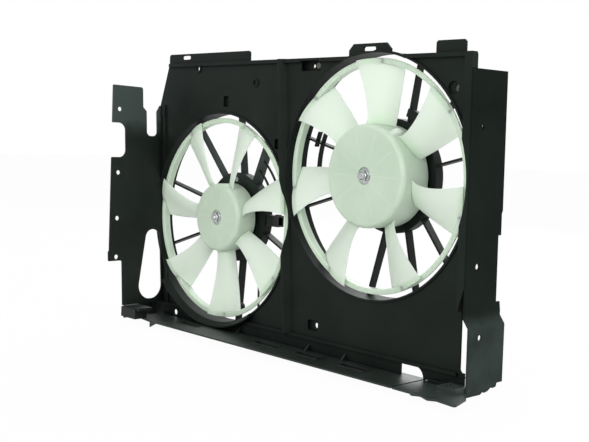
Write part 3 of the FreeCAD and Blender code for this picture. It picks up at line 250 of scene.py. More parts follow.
def moulded_plastic(name, tones, rough, grain, relief, edge=0.0, shine=PLAIN_SHINE, recess=0.0):
    """Plastic with a slow change of tone, a fine skin, eased edges, and painted shade in its recesses and
    corners.

    rough has the least and the most roughness of the skin, grain is the size of its marks and relief
    their strength. edge is the radius of the eased edges, and recess how far the painted shade in a corner
    reaches.
    """
    material = bpy.data.materials.new(name)
    material.use_nodes = True
    tree = material.node_tree
    shader = tree.nodes["Principled BSDF"]
    shader.inputs["Specular IOR Level"].default_value = shine
    place = tree.nodes.new("ShaderNodeTexCoord").outputs["Object"]
    flow = clouds(tree, place, FLOW_SCALE, FLOW_DETAIL, FLOW_SWIRL)
    colour = toned(tree, flow, tones, FLOW_LIMITS)
    skin = clouds(tree, place, 1.0 / grain)
    tree.links.new(spread(tree, skin, (0.0, 1.0), rough), shader.inputs["Roughness"])
    height = tree.nodes.new("ShaderNodeBump")
    height.inputs["Strength"].default_value = relief
    height.inputs["Distance"].default_value = GRAIN_HEIGHT
    tree.links.new(skin, height.inputs["Height"])
    if edge > 0:
        eased = tree.nodes.new("ShaderNodeBevel")
        eased.samples = EDGE_SAMPLES
        eased.inputs["Radius"].default_value = edge
        tree.links.new(eased.outputs["Normal"], height.inputs["Normal"])
    tree.links.new(height.outputs["Normal"], shader.inputs["Normal"])
    # Painted shade: the base colour is darkened where ambient occlusion finds a recess or corner.
    if recess > 0:
        corners = tree.nodes.new("ShaderNodeAmbientOcclusion")
        corners.samples = PAINTED_SHADE_SAMPLES
        corners.inputs["Distance"].default_value = recess
        painted_shade_share = spread(tree, corners.outputs["AO"], PAINTED_SHADE_LIMITS, (PAINTED_SHADE_LEAST_LIGHT, 1.0))
        painted_shade_colour = tree.nodes.new("ShaderNodeVectorMath")
        painted_shade_colour.operation = "SCALE"
        tree.links.new(colour, painted_shade_colour.inputs[0])
        tree.links.new(painted_shade_share, painted_shade_colour.inputs["Scale"])
        colour = painted_shade_colour.outputs[0]
    tree.links.new(colour, shader.inputs["Base Color"])
    return material


def black_plastic(name, rough, relief, shine, tones=SHROUD_TONES):
    """The shroud's plastic, with the finish of one of its mouldings and painted shade in its recesses and
    corners.
    """
    return moulded_plastic(name, tones, rough, SHROUD_GRAIN, relief, EDGE_ROUND, shine, PAINTED_SHADE_REACH)


def whole_surface(node):
    """A copy of a CAD solid's mesh with its loose triangles merged into one skin."""
    skin = bmesh.new()
    skin.from_mesh(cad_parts[node].data)
    bmesh.ops.remove_doubles(skin, verts=skin.verts, dist=MERGE_WITHIN)
    flat_angle = math.radians(FLAT_WITHIN)
    bmesh.ops.dissolve_limit(skin, angle_limit=flat_angle, verts=skin.verts, edges=skin.edges)
    mesh = bpy.data.meshes.new(node + "_skin")
    skin.to_mesh(mesh)
    skin.free()
    for name in ("custom_normal", "sharp_edge", "sharp_face"):
        if name in mesh.attributes:
            mesh.attributes.remove(mesh.attributes[name])
    return mesh


def closed_mesh(name, skin):
    """Ends a mesh: merges its doubles, turns its faces outwards and hands it over."""
    bmesh.ops.remove_doubles(skin, verts=skin.verts, dist=MERGE_WITHIN)
    bmesh.ops.recalc_face_normals(skin, faces=skin.faces)
    mesh = bpy.data.meshes.new(name)
    skin.to_mesh(mesh)
    skin.free()
    return mesh


def even_normals(mesh):
    """The same mesh with normals that follow its large faces, so flat areas shade flat."""
    carrier = bpy.data.objects.new("normals_carrier", mesh)
    bpy.context.scene.collection.objects.link(carrier)
    modifier = carrier.modifiers.new("weights", "WEIGHTED_NORMAL")
    modifier.keep_sharp = True
    evaluated = carrier.evaluated_get(bpy.context.evaluated_depsgraph_get())
    result = bpy.data.meshes.new_from_object(evaluated)
    bpy.data.objects.remove(carrier)
    return result


def set_piece(name, mesh, material, nodes=(), body="shroud", slot="shroud_plastic", crease=CREASE):
    """Puts a finished mesh on its body, smooth except at real corners."""
    mesh.materials.clear()
    mesh.materials.append(material)
    mesh.polygons.foreach_set("use_smooth", [True] * len(mesh.polygons))
    mesh.set_sharp_from_angle(angle=math.radians(crease))
    mesh.update()
    piece = bpy.data.objects.new(name, even_normals(mesh))
    bpy.context.scene.collection.objects.link(piece)
    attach(piece, body)
    if nodes:
        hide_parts(*nodes)


def set_moulding(name, node, material, **facts):
    """Puts a smooth copy of a node's own surface in that node's place."""
    set_piece(name, whole_surface(node), material, [node], **facts)


shroud_plastic = black_plastic("shroud_plastic", SHROUD_ROUGH, SHROUD_RELIEF, SHROUD_SHINE)
set_moulding("shroud_moulding", "fan_shroud", shroud_plastic)


# Side guides. The left one is a thin wall that stands forward along the fold, with a
# bite, a notch and a window; the right one runs rearward beside the border. Both are
# moulded in the shroud's plastic; the left one is painted paler towards its top as painted light, and the
# right one is paler towards its bottom.
# A paler tint mixed in between two heights: painted light on the left guide, the corner shelf and the left
# carrier, and a paler bottom on the right guide.
PALER_TINT = (0.055, 0.070, 0.066, 1.0)
PALER_CLOUDS = 22.0
PALER_DETAIL = 5.0
# The paler tint starts at the first height, is fullest from the second on, and has this weight there.
LEFT_GUIDE_PAINTED_LIGHT = (-150.0 * MM, -85.0 * MM, 3.4)
RIGHT_GUIDE_PALER_BOTTOM = (-350.0 * MM, -372.0 * MM, 1.15)
SHEET_T = 2.5 * MM
WEB_FRONT = 0.2 * MM
WEB_REAR = 2.3 * MM
BLOCK_EASE = 0.2
FOLD_W = 1.2 * MM
FOLD_OUT = 0.5 * MM
FOLD_SINK = 0.4 * MM
FOLD_Y = -35.5 * MM
FOLD_TOP = -94.0 * MM
FOLD_LOW = -300.0 * MM
FOLD_TICKS = (-172.0 * MM, -240.0 * MM, -268.0 * MM)
TICK_FRONT = 3.0 * MM
TICK_REAR = 2.0 * MM
TICK_OUT = 0.4 * MM
SKIRT_LOW = -461.0 * MM
SKIRT_TOP = -431.0 * MM
SKIRT_FRONT = -62.0 * MM
SKIRT_RIGHT = -263.0 * MM
SKIRT_INSET = 0.5 * MM


def tinted(tree, share, tone, tint):
    """Mixes a tint into a tone, by a share that varies over the surface."""
    mix = tree.nodes.new("ShaderNodeMix")
    mix.data_type = "RGBA"
    mix.inputs["B"].default_value = tint
    tree.links.new(share, mix.inputs["Factor"])
    tree.links.new(tone, mix.inputs["A"])
    return mix.outputs["Result"]


def paler_between_heights(material, start, full, weight):
    """Lets a plastic grow paler between two heights, with an uneven border."""
    tree = material.node_tree
    base = tree.nodes["Principled BSDF"].inputs["Base Color"]
    place = tree.nodes.new("ShaderNodeTexCoord").outputs["Object"]
    parts = tree.nodes.new("ShaderNodeSeparateXYZ")
    tree.links.new(place, parts.inputs[0])
    rise = spread(tree, parts.outputs["Z"], (start, full), (0.0, weight), smooth=True)
    uneven = combined(tree, "MULTIPLY", rise, clouds(tree, place, PALER_CLOUDS, PALER_DETAIL))
    tree.links.new(tinted(tree, uneven, base.links[0].from_socket, PALER_TINT), base)


def add_block(skin, low, high):
    """Adds a closed block between two corners, its edges eased by a small bevel."""
    made = bmesh.ops.create_cube(skin, size=1.0)
    for vert in made["verts"]:
        vert.co = Vector([high[k] if vert.co[k] > 0 else low[k] for k in range(3)])
    edges = list({edge for vert in made["verts"] for edge in vert.link_edges})
    ease = min(high[k] - low[k] for k in range(3)) * BLOCK_EASE
    bmesh.ops.bevel(skin, geom=edges, offset=ease, segments=2, profile=0.5, affect="EDGES")


left_guide_plastic = black_plastic("left_guide_plastic", rough=(0.40, 0.56), relief=0.18, shine=0.20)
# Painted light: the left guide is paler towards its top.
paler_between_heights(left_guide_plastic, *LEFT_GUIDE_PAINTED_LIGHT)
right_guide_plastic = black_plastic("right_guide_plastic", rough=(0.50, 0.64), relief=0.18, shine=0.03)
# The right guide is paler towards its bottom.
paler_between_heights(right_guide_plastic, *RIGHT_GUIDE_PALER_BOTTOM)
set_moulding("left_guide_wall", "left_side_guide", left_guide_plastic)
set_moulding("right_guide_wall", "right_side_guide", right_guide_plastic)
guide_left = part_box("left_side_guide")[0][0]
guide_face = guide_left + SHEET_T
fold = bmesh.new()
add_block(fold, (guide_face - FOLD_SINK, FOLD_Y - FOLD_W / 2, FOLD_LOW),
          (guide_face + FOLD_OUT, FOLD_Y + FOLD_W / 2, FOLD_TOP))
for tick in FOLD_TICKS:
    add_block(fold, (guide_face - FOLD_SINK, FOLD_Y - TICK_FRONT, tick - FOLD_W / 2),
              (guide_face + TICK_OUT, FOLD_Y + TICK_REAR, tick + FOLD_W / 2))
set_piece("left_guide_fold", closed_mesh("left_guide_fold", fold), left_guide_plastic)
skirt = bmesh.new()
add_block(skirt, (guide_left, SKIRT_FRONT, SKIRT_LOW), (guide_face, SHEET_T, SKIRT_TOP))
add_block(skirt, (guide_left + SKIRT_INSET, WEB_FRONT, SKIRT_LOW), (SKIRT_RIGHT, WEB_REAR, SKIRT_TOP))
set_piece("left_guide_skirt", closed_mesh("left_guide_skirt", skirt), left_guide_plastic)


# Lower guides and foot. A flat shelf under the apron with pockets and small ribs, a
# corner shelf with a raised pad and a web up to the sheet, and a block foot under the
# left guide. They are separate mouldings of the same plastic, set on the shroud.
# Painted light: the shelf has paler tones than the shroud's plastic, for the light on its upward faces.
SHELF_PAINTED_LIGHT_TONES = ((0.0105, 0.0142, 0.0122, 1.0), (0.0260, 0.0335, 0.0295, 1.0))
CORNER_PAINTED_LIGHT = (-470.0 * MM, -462.0 * MM, 1.0)
WEB_LEFT = 344.0 * MM
WEB_RIGHT = 406.0 * MM
WEB_LOW = -460.0 * MM
WEB_TOP = -431.0 * MM
STEP_LEFT = 348.0 * MM
STEP_RIGHT = 404.0 * MM
STEP_FRONT = -5.0 * MM
STEP_REAR = 1.0 * MM
STEP_TOP = -448.0 * MM

shelf_plastic = black_plastic("shelf_plastic", rough=(0.36, 0.50), relief=0.20, shine=0.30,
                              tones=SHELF_PAINTED_LIGHT_TONES)
set_moulding("air_shelf", "lower_air_guide", shelf_plastic)
corner_plastic = black_plastic("corner_plastic", rough=(0.38, 0.52), relief=0.20, shine=0.22)
# Painted light: the corner shelf is paler towards its top, where light from above falls.
paler_between_heights(corner_plastic, *CORNER_PAINTED_LIGHT)
web = bmesh.new()
add_block(web, (WEB_LEFT, WEB_FRONT, WEB_LOW), (WEB_RIGHT, WEB_REAR, WEB_TOP))
add_block(web, (STEP_LEFT, STEP_FRONT, WEB_LOW), (STEP_RIGHT, STEP_REAR, STEP_TOP))
set_piece("corner_web", closed_mesh("corner_web", web), shroud_plastic)
set_moulding("corner_shelf", "lower_corner_guide", corner_plastic)
set_moulding("left_foot_block", "left_foot", left_guide_plastic)


# Motor carriers. A ring round each motor hangs on thin vanes from the barrel, all one
# moulding with the shroud. The left one also has two thin arcs that guide its wires.
LEFT_AXIS = Vector((-114.0, 0.0, -270.0)) * MM
RIGHT_AXIS = Vector((228.0, 0.0, -182.0)) * MM
CARRIER_PAINTED_LIGHT = (-235.0 * MM, -185.0 * MM, 1.1)
ARC_WIDTH = 2.6 * MM
ARC_FRONT = 30.5 * MM
ARC_REAR = 34.5 * MM
ARC_EASE = 0.8 * MM
ARC_STEPS = 16
# An arc has a radius, and the angles where it ends and where it starts.
ARCS = ((122.5 * MM, 52.0, 20.0), (104.0 * MM, 52.0, 26.0))


def join_rows(skin, here, following, closed=False):
    """Faces between two rows of points, and between the rows' ends where they are closed."""
    count = len(here)
    for j in range(count if closed else count - 1):
        k = (j + 1) % count
        skin.faces.new((here[j], here[k], following[k], following[j]))


def turned_surface(skin, axis_place, profile, steps, start=0.0, sweep=360.0):
    """Sweeps a closed (radius, depth) outline about a fan axis, from +X towards +Z."""
    closed = sweep >= 360.0
    count = steps if closed else steps + 1
    rows = []
    for i in range(count):
        angle = math.radians(start + sweep * i / steps)
        across = Vector((math.cos(angle), 0.0, math.sin(angle)))
        rows.append([skin.verts.new(axis_place + across * r + Vector((0.0, y, 0.0))) for r, y in profile])
    for i in range(steps):
        join_rows(skin, rows[i], rows[(i + 1) % count], closed=True)
    if not closed:
        skin.faces.new(rows[0])
        skin.faces.new(rows[-1])


def eased_outline(points, steps=4):
    """Outline of (radius, depth, rounding) points, with each rounded corner as a short arc."""
    outline = []
    count = len(points)
    for i, (r, y, rounding) in enumerate(points):
        corner = Vector((r, y))
        before = (Vector(points[i - 1][:2]) - corner).normalized()
        after = (Vector(points[(i + 1) % count][:2]) - corner).normalized()
        half = before.angle(after) / 2
        centre = corner + (before + after).normalized() * (rounding / math.sin(half))
        first = corner + before * (rounding / math.tan(half)) - centre
        last = corner + after * (rounding / math.tan(half)) - centre
        turn = first.angle_signed(last)
        for step in range(steps + 1):
            spoke = first.copy()
            spoke.rotate(Matrix.Rotation(-turn * step / steps, 2))
            outline.append(tuple(centre + spoke))
    return outline


for side in ("left", "right"):
    carrier_plastic = black_plastic("carrier_plastic_" + side, rough=(0.42, 0.58), relief=0.20, shine=0.16)
    if side == "left":
        # Painted light: the left carrier is paler towards its top.
        paler_between_heights(carrier_plastic, *CARRIER_PAINTED_LIGHT)
    set_moulding("carrier_moulding_" + side, "motor_carrier_" + side, carrier_plastic)

arcs = bmesh.new()
for radius, first_angle, last_angle in ARCS:
    inner = radius - ARC_WIDTH / 2
    outer = radius + ARC_WIDTH / 2
    section = eased_outline([(inner, ARC_FRONT, ARC_EASE), (outer, ARC_FRONT, ARC_EASE),
                             (outer, ARC_REAR, ARC_EASE), (inner, ARC_REAR, ARC_EASE)])
    turned_surface(arcs, LEFT_AXIS, section, ARC_STEPS, last_angle, first_angle - last_angle)
set_piece("carrier_arcs_left", closed_mesh("carrier_arcs_left", arcs), shroud_plastic)


# Fans. Each is one moulding of natural plastic that lets some light through: a cup hub
# with ribs inside, seven cambered blades and an L-shaped ring that runs in the opening.
BLADES = 7
HUB_RIBS = 10
HUB_WALL = 2.5 * MM
HUB_ROUND = 6.5 * MM
HUB_EASE = 0.6 * MM
CUP_FILLET = 4.0 * MM
HUB_RIB_T = 2.0 * MM
HUB_RIB_DEPTH = 9.0 * MM
RIB_IN_BOSS = 1.0 * MM
RIB_IN_WALL = 0.5 * MM
RIB_IN_FACE = 0.2 * MM
BOSS_R = 15.0 * MM
BOSS_DEPTH = 11.0 * MM
BOSS_FILLET = 1.0 * MM
BOSS_EASE = 0.8 * MM
BORE_EASE = 0.5 * MM
SEAT_R = 12.5 * MM
SEAT_DEPTH = 3.5 * MM
SEAT_EASE = 0.3 * MM
SEAT_FILLET = 0.4 * MM
RING_FRONT = 4.0 * MM
RING_T = 2.2 * MM
RING_DEPTH = 12.0 * MM
RING_LIP = 8.0 * MM
RING_ROUND = 0.9 * MM
RING_EASE = 0.8 * MM
RING_FILLET = 0.6 * MM
BLADE_T = 2.4 * MM
BLADE_EDGE_T = 1.2 * MM
BLADE_CAMBER = 4.5 * MM
BLADE_BOW = 5.0
ROOT_SET_BACK = 6.0 * MM
ROOT_EXTRA = 5.0 * MM
ROOT_SINK = 0.5 * MM
ROOT_COVER = 0.3 * MM
LIP_COVER = 1.0 * MM
SPAN_STEPS = 18
CHORD_STEPS = 14
TURN_STEPS = 128
HUB_CORNER_STEPS = 5
RING_CORNER_STEPS = 3
FAN_CREASE = 40.0
FAN_TONES = ((0.56, 0.675, 0.535, 1.0), (0.67, 0.785, 0.64, 1.0))
FAN_ROUGH = (0.30, 0.42)
FAN_GRAIN = 2.0 * MM
FAN_RELIEF = 0.06
FAN_SHINE = 0.4
GLOW_WEIGHT = 0.65
GLOW_REACH = 9.0 * MM
GLOW_COLOURS = (0.9, 1.0, 0.85)
BLADE_PAINTED_LIGHT_TONE = (0.690, 0.752, 0.668, 1.0)
RIB_PAINTED_LIGHT_TONE = (0.80, 0.90, 0.78, 1.0)
RIB_PAINTED_LIGHT_SHARE = 0.22
RIB_HALF_TURN = 0.045
# Shares of the hub's radius between which the ribs' painted light comes in, and between which the blades'
# painted light does.
RIB_FADE = (0.86, 0.80)
BLADE_FADE = (1.01, 1.35)
# How far inside the ring's outer edge the blades' painted light starts to go, and is gone.
RING_FADE = (11.0 * MM, 7.5 * MM)
FAN_SIZES = {
    "left": {"axis": LEFT_AXIS, "hub": 56.5 * MM, "front": -5.0 * MM, "depth": 38.0 * MM,
             "lip": 166.3 * MM, "shaft": 4.04 * MM, "start": 160.0, "tip_span": 23.0, "root_span": 27.0,
             "blade_front": -1.5 * MM, "blade_depth": 19.0 * MM},
    "right": {"axis": RIGHT_AXIS, "hub": 74.5 * MM, "front": -15.0 * MM, "depth": 53.0 * MM,
              "lip": 169.3 * MM, "shaft": 5.04 * MM, "start": 153.5, "tip_span": -26.5, "root_span": -30.0,
              "blade_front": -4.0 * MM, "blade_depth": 23.0 * MM},
}


def round_repeat_tree():
    """Node tree that repeats its geometry about an axis along Y, as one real mesh."""
    tree = bpy.data.node_groups.new("repeat_round_axis", "GeometryNodeTree")
    for label, kind in (("Geometry", "NodeSocketGeometry"), ("Count", "NodeSocketInt"),
                        ("First Angle", "NodeSocketFloat"), ("Axis Place", "NodeSocketVector"),
                        ("Material", "NodeSocketMaterial")):
        tree.interface.new_socket(label, in_out="INPUT", socket_type=kind)
    tree.interface.new_socket("Geometry", in_out="OUTPUT", socket_type="NodeSocketGeometry")
    given = tree.nodes.new("NodeGroupInput")
    result = tree.nodes.new("NodeGroupOutput")
    points = tree.nodes.new("GeometryNodePoints")
    index = tree.nodes.new("GeometryNodeInputIndex")
    step = combined(tree, "DIVIDE", -2 * math.pi, given.outputs["Count"])
    turn = combined(tree, "MULTIPLY", index.outputs[0], step)
    total = combined(tree, "SUBTRACT", turn, given.outputs["First Angle"])
    euler = tree.nodes.new("ShaderNodeCombineXYZ")
    rotation = tree.nodes.new("FunctionNodeEulerToRotation")
    instances = tree.nodes.new("GeometryNodeInstanceOnPoints")
    shift = tree.nodes.new("GeometryNodeTransform")
    realize = tree.nodes.new("GeometryNodeRealizeInstances")
    paint = tree.nodes.new("GeometryNodeSetMaterial")
    link = tree.links.new
    link(given.outputs["Count"], points.inputs["Count"])
    link(total, euler.inputs["Y"])
    link(euler.outputs[0], rotation.inputs[0])
    link(points.outputs[0], instances.inputs["Points"])
    link(given.outputs["Geometry"], instances.inputs["Instance"])
    link(rotation.outputs[0], instances.inputs["Rotation"])
    link(instances.outputs[0], shift.inputs["Geometry"])
    link(given.outputs["Axis Place"], shift.inputs["Translation"])
    link(shift.outputs[0], realize.inputs[0])
    link(realize.outputs[0], paint.inputs["Geometry"])
    link(given.outputs["Material"], paint.inputs["Material"])
    link(paint.outputs[0], result.inputs[0])
    return tree


repeat_round_axis = round_repeat_tree()


def repeated_round(name, pattern, count, axis_place, material, first_angle=0.0):
    """Mesh of a pattern, made round the origin's Y axis, repeated about an axis somewhere else."""
    carrier = bpy.data.objects.new(name + "_pattern", pattern)
    bpy.context.scene.collection.objects.link(carrier)
    modifier = carrier.modifiers.new("repeat", "NODES")
    modifier.node_group = repeat_round_axis
    values = {"Count": count, "First Angle": math.radians(first_angle), "Axis Place": axis_place,
              "Material": material}
    for item in repeat_round_axis.interface.items_tree:
        if item.in_out == "INPUT" and item.name in values:
            modifier[item.identifier] = values[item.name]
    evaluated = carrier.evaluated_get(bpy.context.evaluated_depsgraph_get())
    mesh = bpy.data.meshes.new_from_object(evaluated)
    bpy.data.objects.remove(carrier)
    mesh.name = name
    return mesh


def translucent_plastic(name, fan):
    """Natural plastic of a fan, with painted light: paler on the blades, as if lit through from behind, and
    paler along the ribs behind the hub's face.
    """
    material = moulded_plastic(name, FAN_TONES, FAN_ROUGH, FAN_GRAIN, FAN_RELIEF, shine=FAN_SHINE)
    tree = material.node_tree
    shader = tree.nodes["Principled BSDF"]
    shader.inputs["Subsurface Weight"].default_value = GLOW_WEIGHT
    shader.inputs["Subsurface Radius"].default_value = GLOW_COLOURS
    shader.inputs["Subsurface Scale"].default_value = GLOW_REACH
    where = tree.nodes.new("ShaderNodeTexCoord")
    centred = tree.nodes.new("ShaderNodeMapping")
    centred.inputs["Location"].default_value = (-fan["axis"].x, 0.0, -fan["axis"].z)
    parts = tree.nodes.new("ShaderNodeSeparateXYZ")
    flat = tree.nodes.new("ShaderNodeCombineXYZ")
    length = tree.nodes.new("ShaderNodeVectorMath")
    length.operation = "LENGTH"
    link = tree.links.new
    link(where.outputs["Object"], centred.inputs["Vector"])
    link(centred.outputs["Vector"], parts.inputs[0])
    link(parts.outputs["X"], flat.inputs["X"])
    link(parts.outputs["Z"], flat.inputs["Z"])
    link(flat.outputs[0], length.inputs[0])
    radius = length.outputs["Value"]
    angle = combined(tree, "ARCTAN2", parts.outputs["Z"], parts.outputs["X"])
    # Painted light: pale lines on the hub's face where the ribs behind it show through.
    fold = combined(tree, "PINGPONG", angle, math.pi / HUB_RIBS)
    on_rib = spread(tree, fold, (0.0, RIB_HALF_TURN), (1.0, 0.0), smooth=True)
    on_face = spread(tree, radius, [fan["hub"] * share for share in RIB_FADE], (0.0, 1.0))
    rib = combined(tree, "MULTIPLY", combined(tree, "MULTIPLY", on_rib, on_face), RIB_PAINTED_LIGHT_SHARE)
    past_hub = spread(tree, radius, [fan["hub"] * share for share in BLADE_FADE], (0.0, 1.0), smooth=True)
    inside_ring = spread(tree, radius, [fan["lip"] - inset for inset in RING_FADE], (1.0, 0.0))
    # Painted light: the blades are paler, as if backlit through the plastic.
    blade = combined(tree, "MULTIPLY", past_hub, inside_ring)
    base = shader.inputs["Base Color"]
    hub_with_rib_light = tinted(tree, rib, base.links[0].from_socket, RIB_PAINTED_LIGHT_TONE)
    link(tinted(tree, blade, hub_with_rib_light, BLADE_PAINTED_LIGHT_TONE), base)
    return material


def blade_section(fan, share):
    """Middle, half chord and forward normal of a blade's section, at a share of the way to the lip."""
    sign = 1 if fan["tip_span"] > 0 else -1
    bow = sign * BLADE_BOW * math.sin(math.pi * math.sqrt(share))
    span = fan["root_span"] * (1 - share) + fan["tip_span"] * share - bow
    front = fan["blade_front"] + ROOT_SET_BACK * (1 - share)
    rear = fan["blade_front"] + fan["blade_depth"] + ROOT_EXTRA * (1 - share)
    root = fan["hub"] - ROOT_SINK
    radius = root + (fan["lip"] - root) * share
    half = radius * math.radians(span) / 2
    reach = math.sqrt(radius * radius - half * half) if share == 0 else radius
    middle_angle = math.radians(fan["start"] + bow + span / 2)
    radial = Vector((math.cos(middle_angle), 0.0, math.sin(middle_angle)))
    across = Vector((-math.sin(middle_angle), 0.0, math.cos(middle_angle)))
    depth_axis = Vector((0.0, 1.0, 0.0))
    centre = depth_axis * ((front + rear) / 2) + radial * reach
    half_chord = across * half + depth_axis * ((rear - front) / 2)
    normal = half_chord.cross(radial).normalized()
    if normal.y > 0:
        normal = -normal
    return centre, half_chord, normal


def blade_pattern(fan):
    """One blade about the origin's Y axis: a cambered crescent that turns and bows along its span."""
    inner_limit = fan["hub"] - HUB_WALL + ROOT_COVER
    lip_limit = fan["lip"] - LIP_COVER
    band_limit = fan["lip"] - RING_LIP + RING_T / 2
    skin = bmesh.new()
    front_rows = []
    rear_rows = []
    for i in range(SPAN_STEPS + 1):
        centre, half_chord, normal = blade_section(fan, i / SPAN_STEPS)
        front_rows.append([])
        rear_rows.append([])
        for j in range(CHORD_STEPS + 1):
            along = -math.cos(math.pi * j / CHORD_STEPS)
            swell = 1 - along * along
            thickness = BLADE_EDGE_T + (BLADE_T - BLADE_EDGE_T) * swell
            base = centre + half_chord * along + normal * (BLADE_CAMBER * swell)
            for rows, offset in ((front_rows, thickness / 2), (rear_rows, -thickness / 2)):
                point = base + normal * offset
                distance = math.hypot(point.x, point.z)
                outer_limit = lip_limit if point.y < RING_FRONT + RING_T / 2 else band_limit
                wanted = min(max(distance, inner_limit), outer_limit)
                point.x *= wanted / distance
                point.z *= wanted / distance
                rows[-1].append(skin.verts.new(point))
    for i in range(SPAN_STEPS):
        join_rows(skin, front_rows[i], front_rows[i + 1])
        join_rows(skin, rear_rows[i], rear_rows[i + 1])
    for edge in (0, -1):
        join_rows(skin, [row[edge] for row in front_rows], [row[edge] for row in rear_rows])
        join_rows(skin, front_rows[edge], rear_rows[edge])
    return closed_mesh("blade_pattern", skin)


def rib_pattern(fan):
    """One radial rib inside the hub's cup, beside the origin's Y axis."""
    skin = bmesh.new()
    bmesh.ops.create_cube(skin, size=1.0)
    inner = BOSS_R - RIB_IN_BOSS
    outer = fan["hub"] - HUB_WALL + RIB_IN_WALL
    front = fan["front"] + HUB_WALL - RIB_IN_FACE
    rear = fan["front"] + HUB_WALL + HUB_RIB_DEPTH
    for vert in skin.verts:
        vert.co = Vector((inner if vert.co.x < 0 else outer, front if vert.co.y < 0 else rear,
                          vert.co.z * HUB_RIB_T))
    return closed_mesh("rib_pattern", skin)


for side, fan in FAN_SIZES.items():
    fan_plastic = translucent_plastic("fan_plastic_" + side, fan)
    front = fan["front"]
    rear = front + fan["depth"]
    cup = fan["hub"] - HUB_WALL
    cup_front = front + HUB_WALL
    seat = front + SEAT_DEPTH
    boss_end = seat + BOSS_DEPTH
    cup_outline = eased_outline([
        (SEAT_R, front, HUB_EASE), (fan["hub"], front, HUB_ROUND), (fan["hub"], rear, HUB_EASE),
        (cup, rear, HUB_EASE), (cup, cup_front, CUP_FILLET), (BOSS_R, cup_front, BOSS_FILLET),
        (BOSS_R, boss_end, BOSS_EASE), (fan["shaft"], boss_end, BORE_EASE), (fan["shaft"], seat, SEAT_EASE),
        (SEAT_R, seat, SEAT_FILLET)], HUB_CORNER_STEPS)
    band = fan["lip"] - RING_LIP
    lip_rear = RING_FRONT + RING_T
    band_rear = RING_FRONT + RING_DEPTH
    ring_outline = eased_outline([
        (band, RING_FRONT, RING_ROUND), (fan["lip"], RING_FRONT, RING_EASE),
        (fan["lip"], lip_rear, RING_EASE), (band + RING_T, lip_rear, RING_FILLET),
        (band + RING_T, band_rear, RING_EASE), (band, band_rear, RING_EASE)], RING_CORNER_STEPS)
    moulding = bmesh.new()
    turned_surface(moulding, fan["axis"], cup_outline, TURN_STEPS)
    turned_surface(moulding, fan["axis"], ring_outline, TURN_STEPS)
    blades = repeated_round("fan_blades_" + side, blade_pattern(fan), BLADES, fan["axis"], fan_plastic)
    moulding.from_mesh(blades)
    ribs = repeated_round("hub_ribs_" + side, rib_pattern(fan), HUB_RIBS, fan["axis"], fan_plastic)
    moulding.from_mesh(ribs)
    set_piece("fan_moulding_" + side, closed_mesh("fan_moulding_" + side, moulding), fan_plastic,
              ["fan_" + side], "fan_" + side + "_rotor", "fan_plastic", FAN_CREASE)


# Fan nuts, washers and shafts. Bright zinc plated steel: a flanged hexagon nut with
# chamfered corners on a plain washer, and the rolled thread of the motor's shaft.
NUT_ACROSS = 15.0 * MM
NUT_H = 6.5 * MM
NUT_CROWN = 0.985
NUT_TURN = 12.0
CHAMFER_SLOPE = 0.6
BORE_CHAMFER = 0.8 * MM
NUT_FLANGE_R = 8.7 * MM
NUT_FLANGE_H = 1.5 * MM
FLANGE_NECK = 0.3 * MM
FLANGE_EASE = 0.4 * MM
NUT_STEPS = 72
NUT_CREASE = 25.0
WASHER_R = 11.0 * MM
WASHER_T = 1.5 * MM
WASHER_BORE_EASE = 0.2 * MM
WASHER_FRONT_EASE = 0.4 * MM
WASHER_REAR_EASE = 0.3 * MM
WASHER_STEPS = 96
SHAFT_FIT = 0.04 * MM
SHAFT_END = 2.0 * MM
SHAFT_TIP = 1.0 * MM
SHAFT_REAR_EASE = 0.5 * MM
SHAFT_STEPS = 64
SHAFT_CREASE = 40.0
THREAD_PITCH = 1.25 * MM
THREAD_DEPTH = 0.55 * MM
THREADS = 7
ZINC_TONES = ((0.42, 0.43, 0.44, 1.0), (0.74, 0.75, 0.76, 1.0))
METAL_GRAIN = 0.6 * MM
METAL_RELIEF = 0.08
METAL_EDGE = 0.25 * MM


def plated_steel(name, tones, rough):
    """Bare or plated metal with a fine brushed tone."""
    material = moulded_plastic(name, tones, rough, METAL_GRAIN, METAL_RELIEF, METAL_EDGE)
    material.node_tree.nodes["Principled BSDF"].inputs["Metallic"].default_value = 1.0
    return material


def nut_mesh(name, axis_place, bore, front, rear):
    """Flanged hexagon nut, as rings of points that follow the flats and the chamfer."""
    inscribed = NUT_ACROSS / 2
    crown = inscribed * NUT_CROWN
    flange_front = rear - NUT_FLANGE_H
    # A ring has a radius, or None on the flats, and a depth, and a slope past the crown.
    outline = ((bore, front + BORE_CHAMFER, 0.0), (bore + BORE_CHAMFER, front, 0.0), (crown, front, 0.0),
               (None, front, CHAMFER_SLOPE), (None, flange_front - FLANGE_NECK, 0.0),
               (NUT_FLANGE_R - FLANGE_NECK, flange_front, 0.0),
               (NUT_FLANGE_R, flange_front + FLANGE_EASE, 0.0), (NUT_FLANGE_R, rear, 0.0), (bore, rear, 0.0))
    skin = bmesh.new()
    rings = []
    for radius, depth, slope in outline:
        rings.append([])
        for i in range(NUT_STEPS):
            angle = 2 * math.pi * i / NUT_STEPS
            off_flat = (angle - math.radians(NUT_TURN)) % (math.pi / 3) - math.pi / 6
            r = radius or inscribed / math.cos(off_flat)
            y = depth + max(0.0, r - crown) * slope
            point = axis_place + Vector((r * math.cos(angle), y, r * math.sin(angle)))
            rings[-1].append(skin.verts.new(point))
    for i, ring in enumerate(rings):
        join_rows(skin, ring, rings[(i + 1) % len(rings)], closed=True)
    return closed_mesh(name, skin)


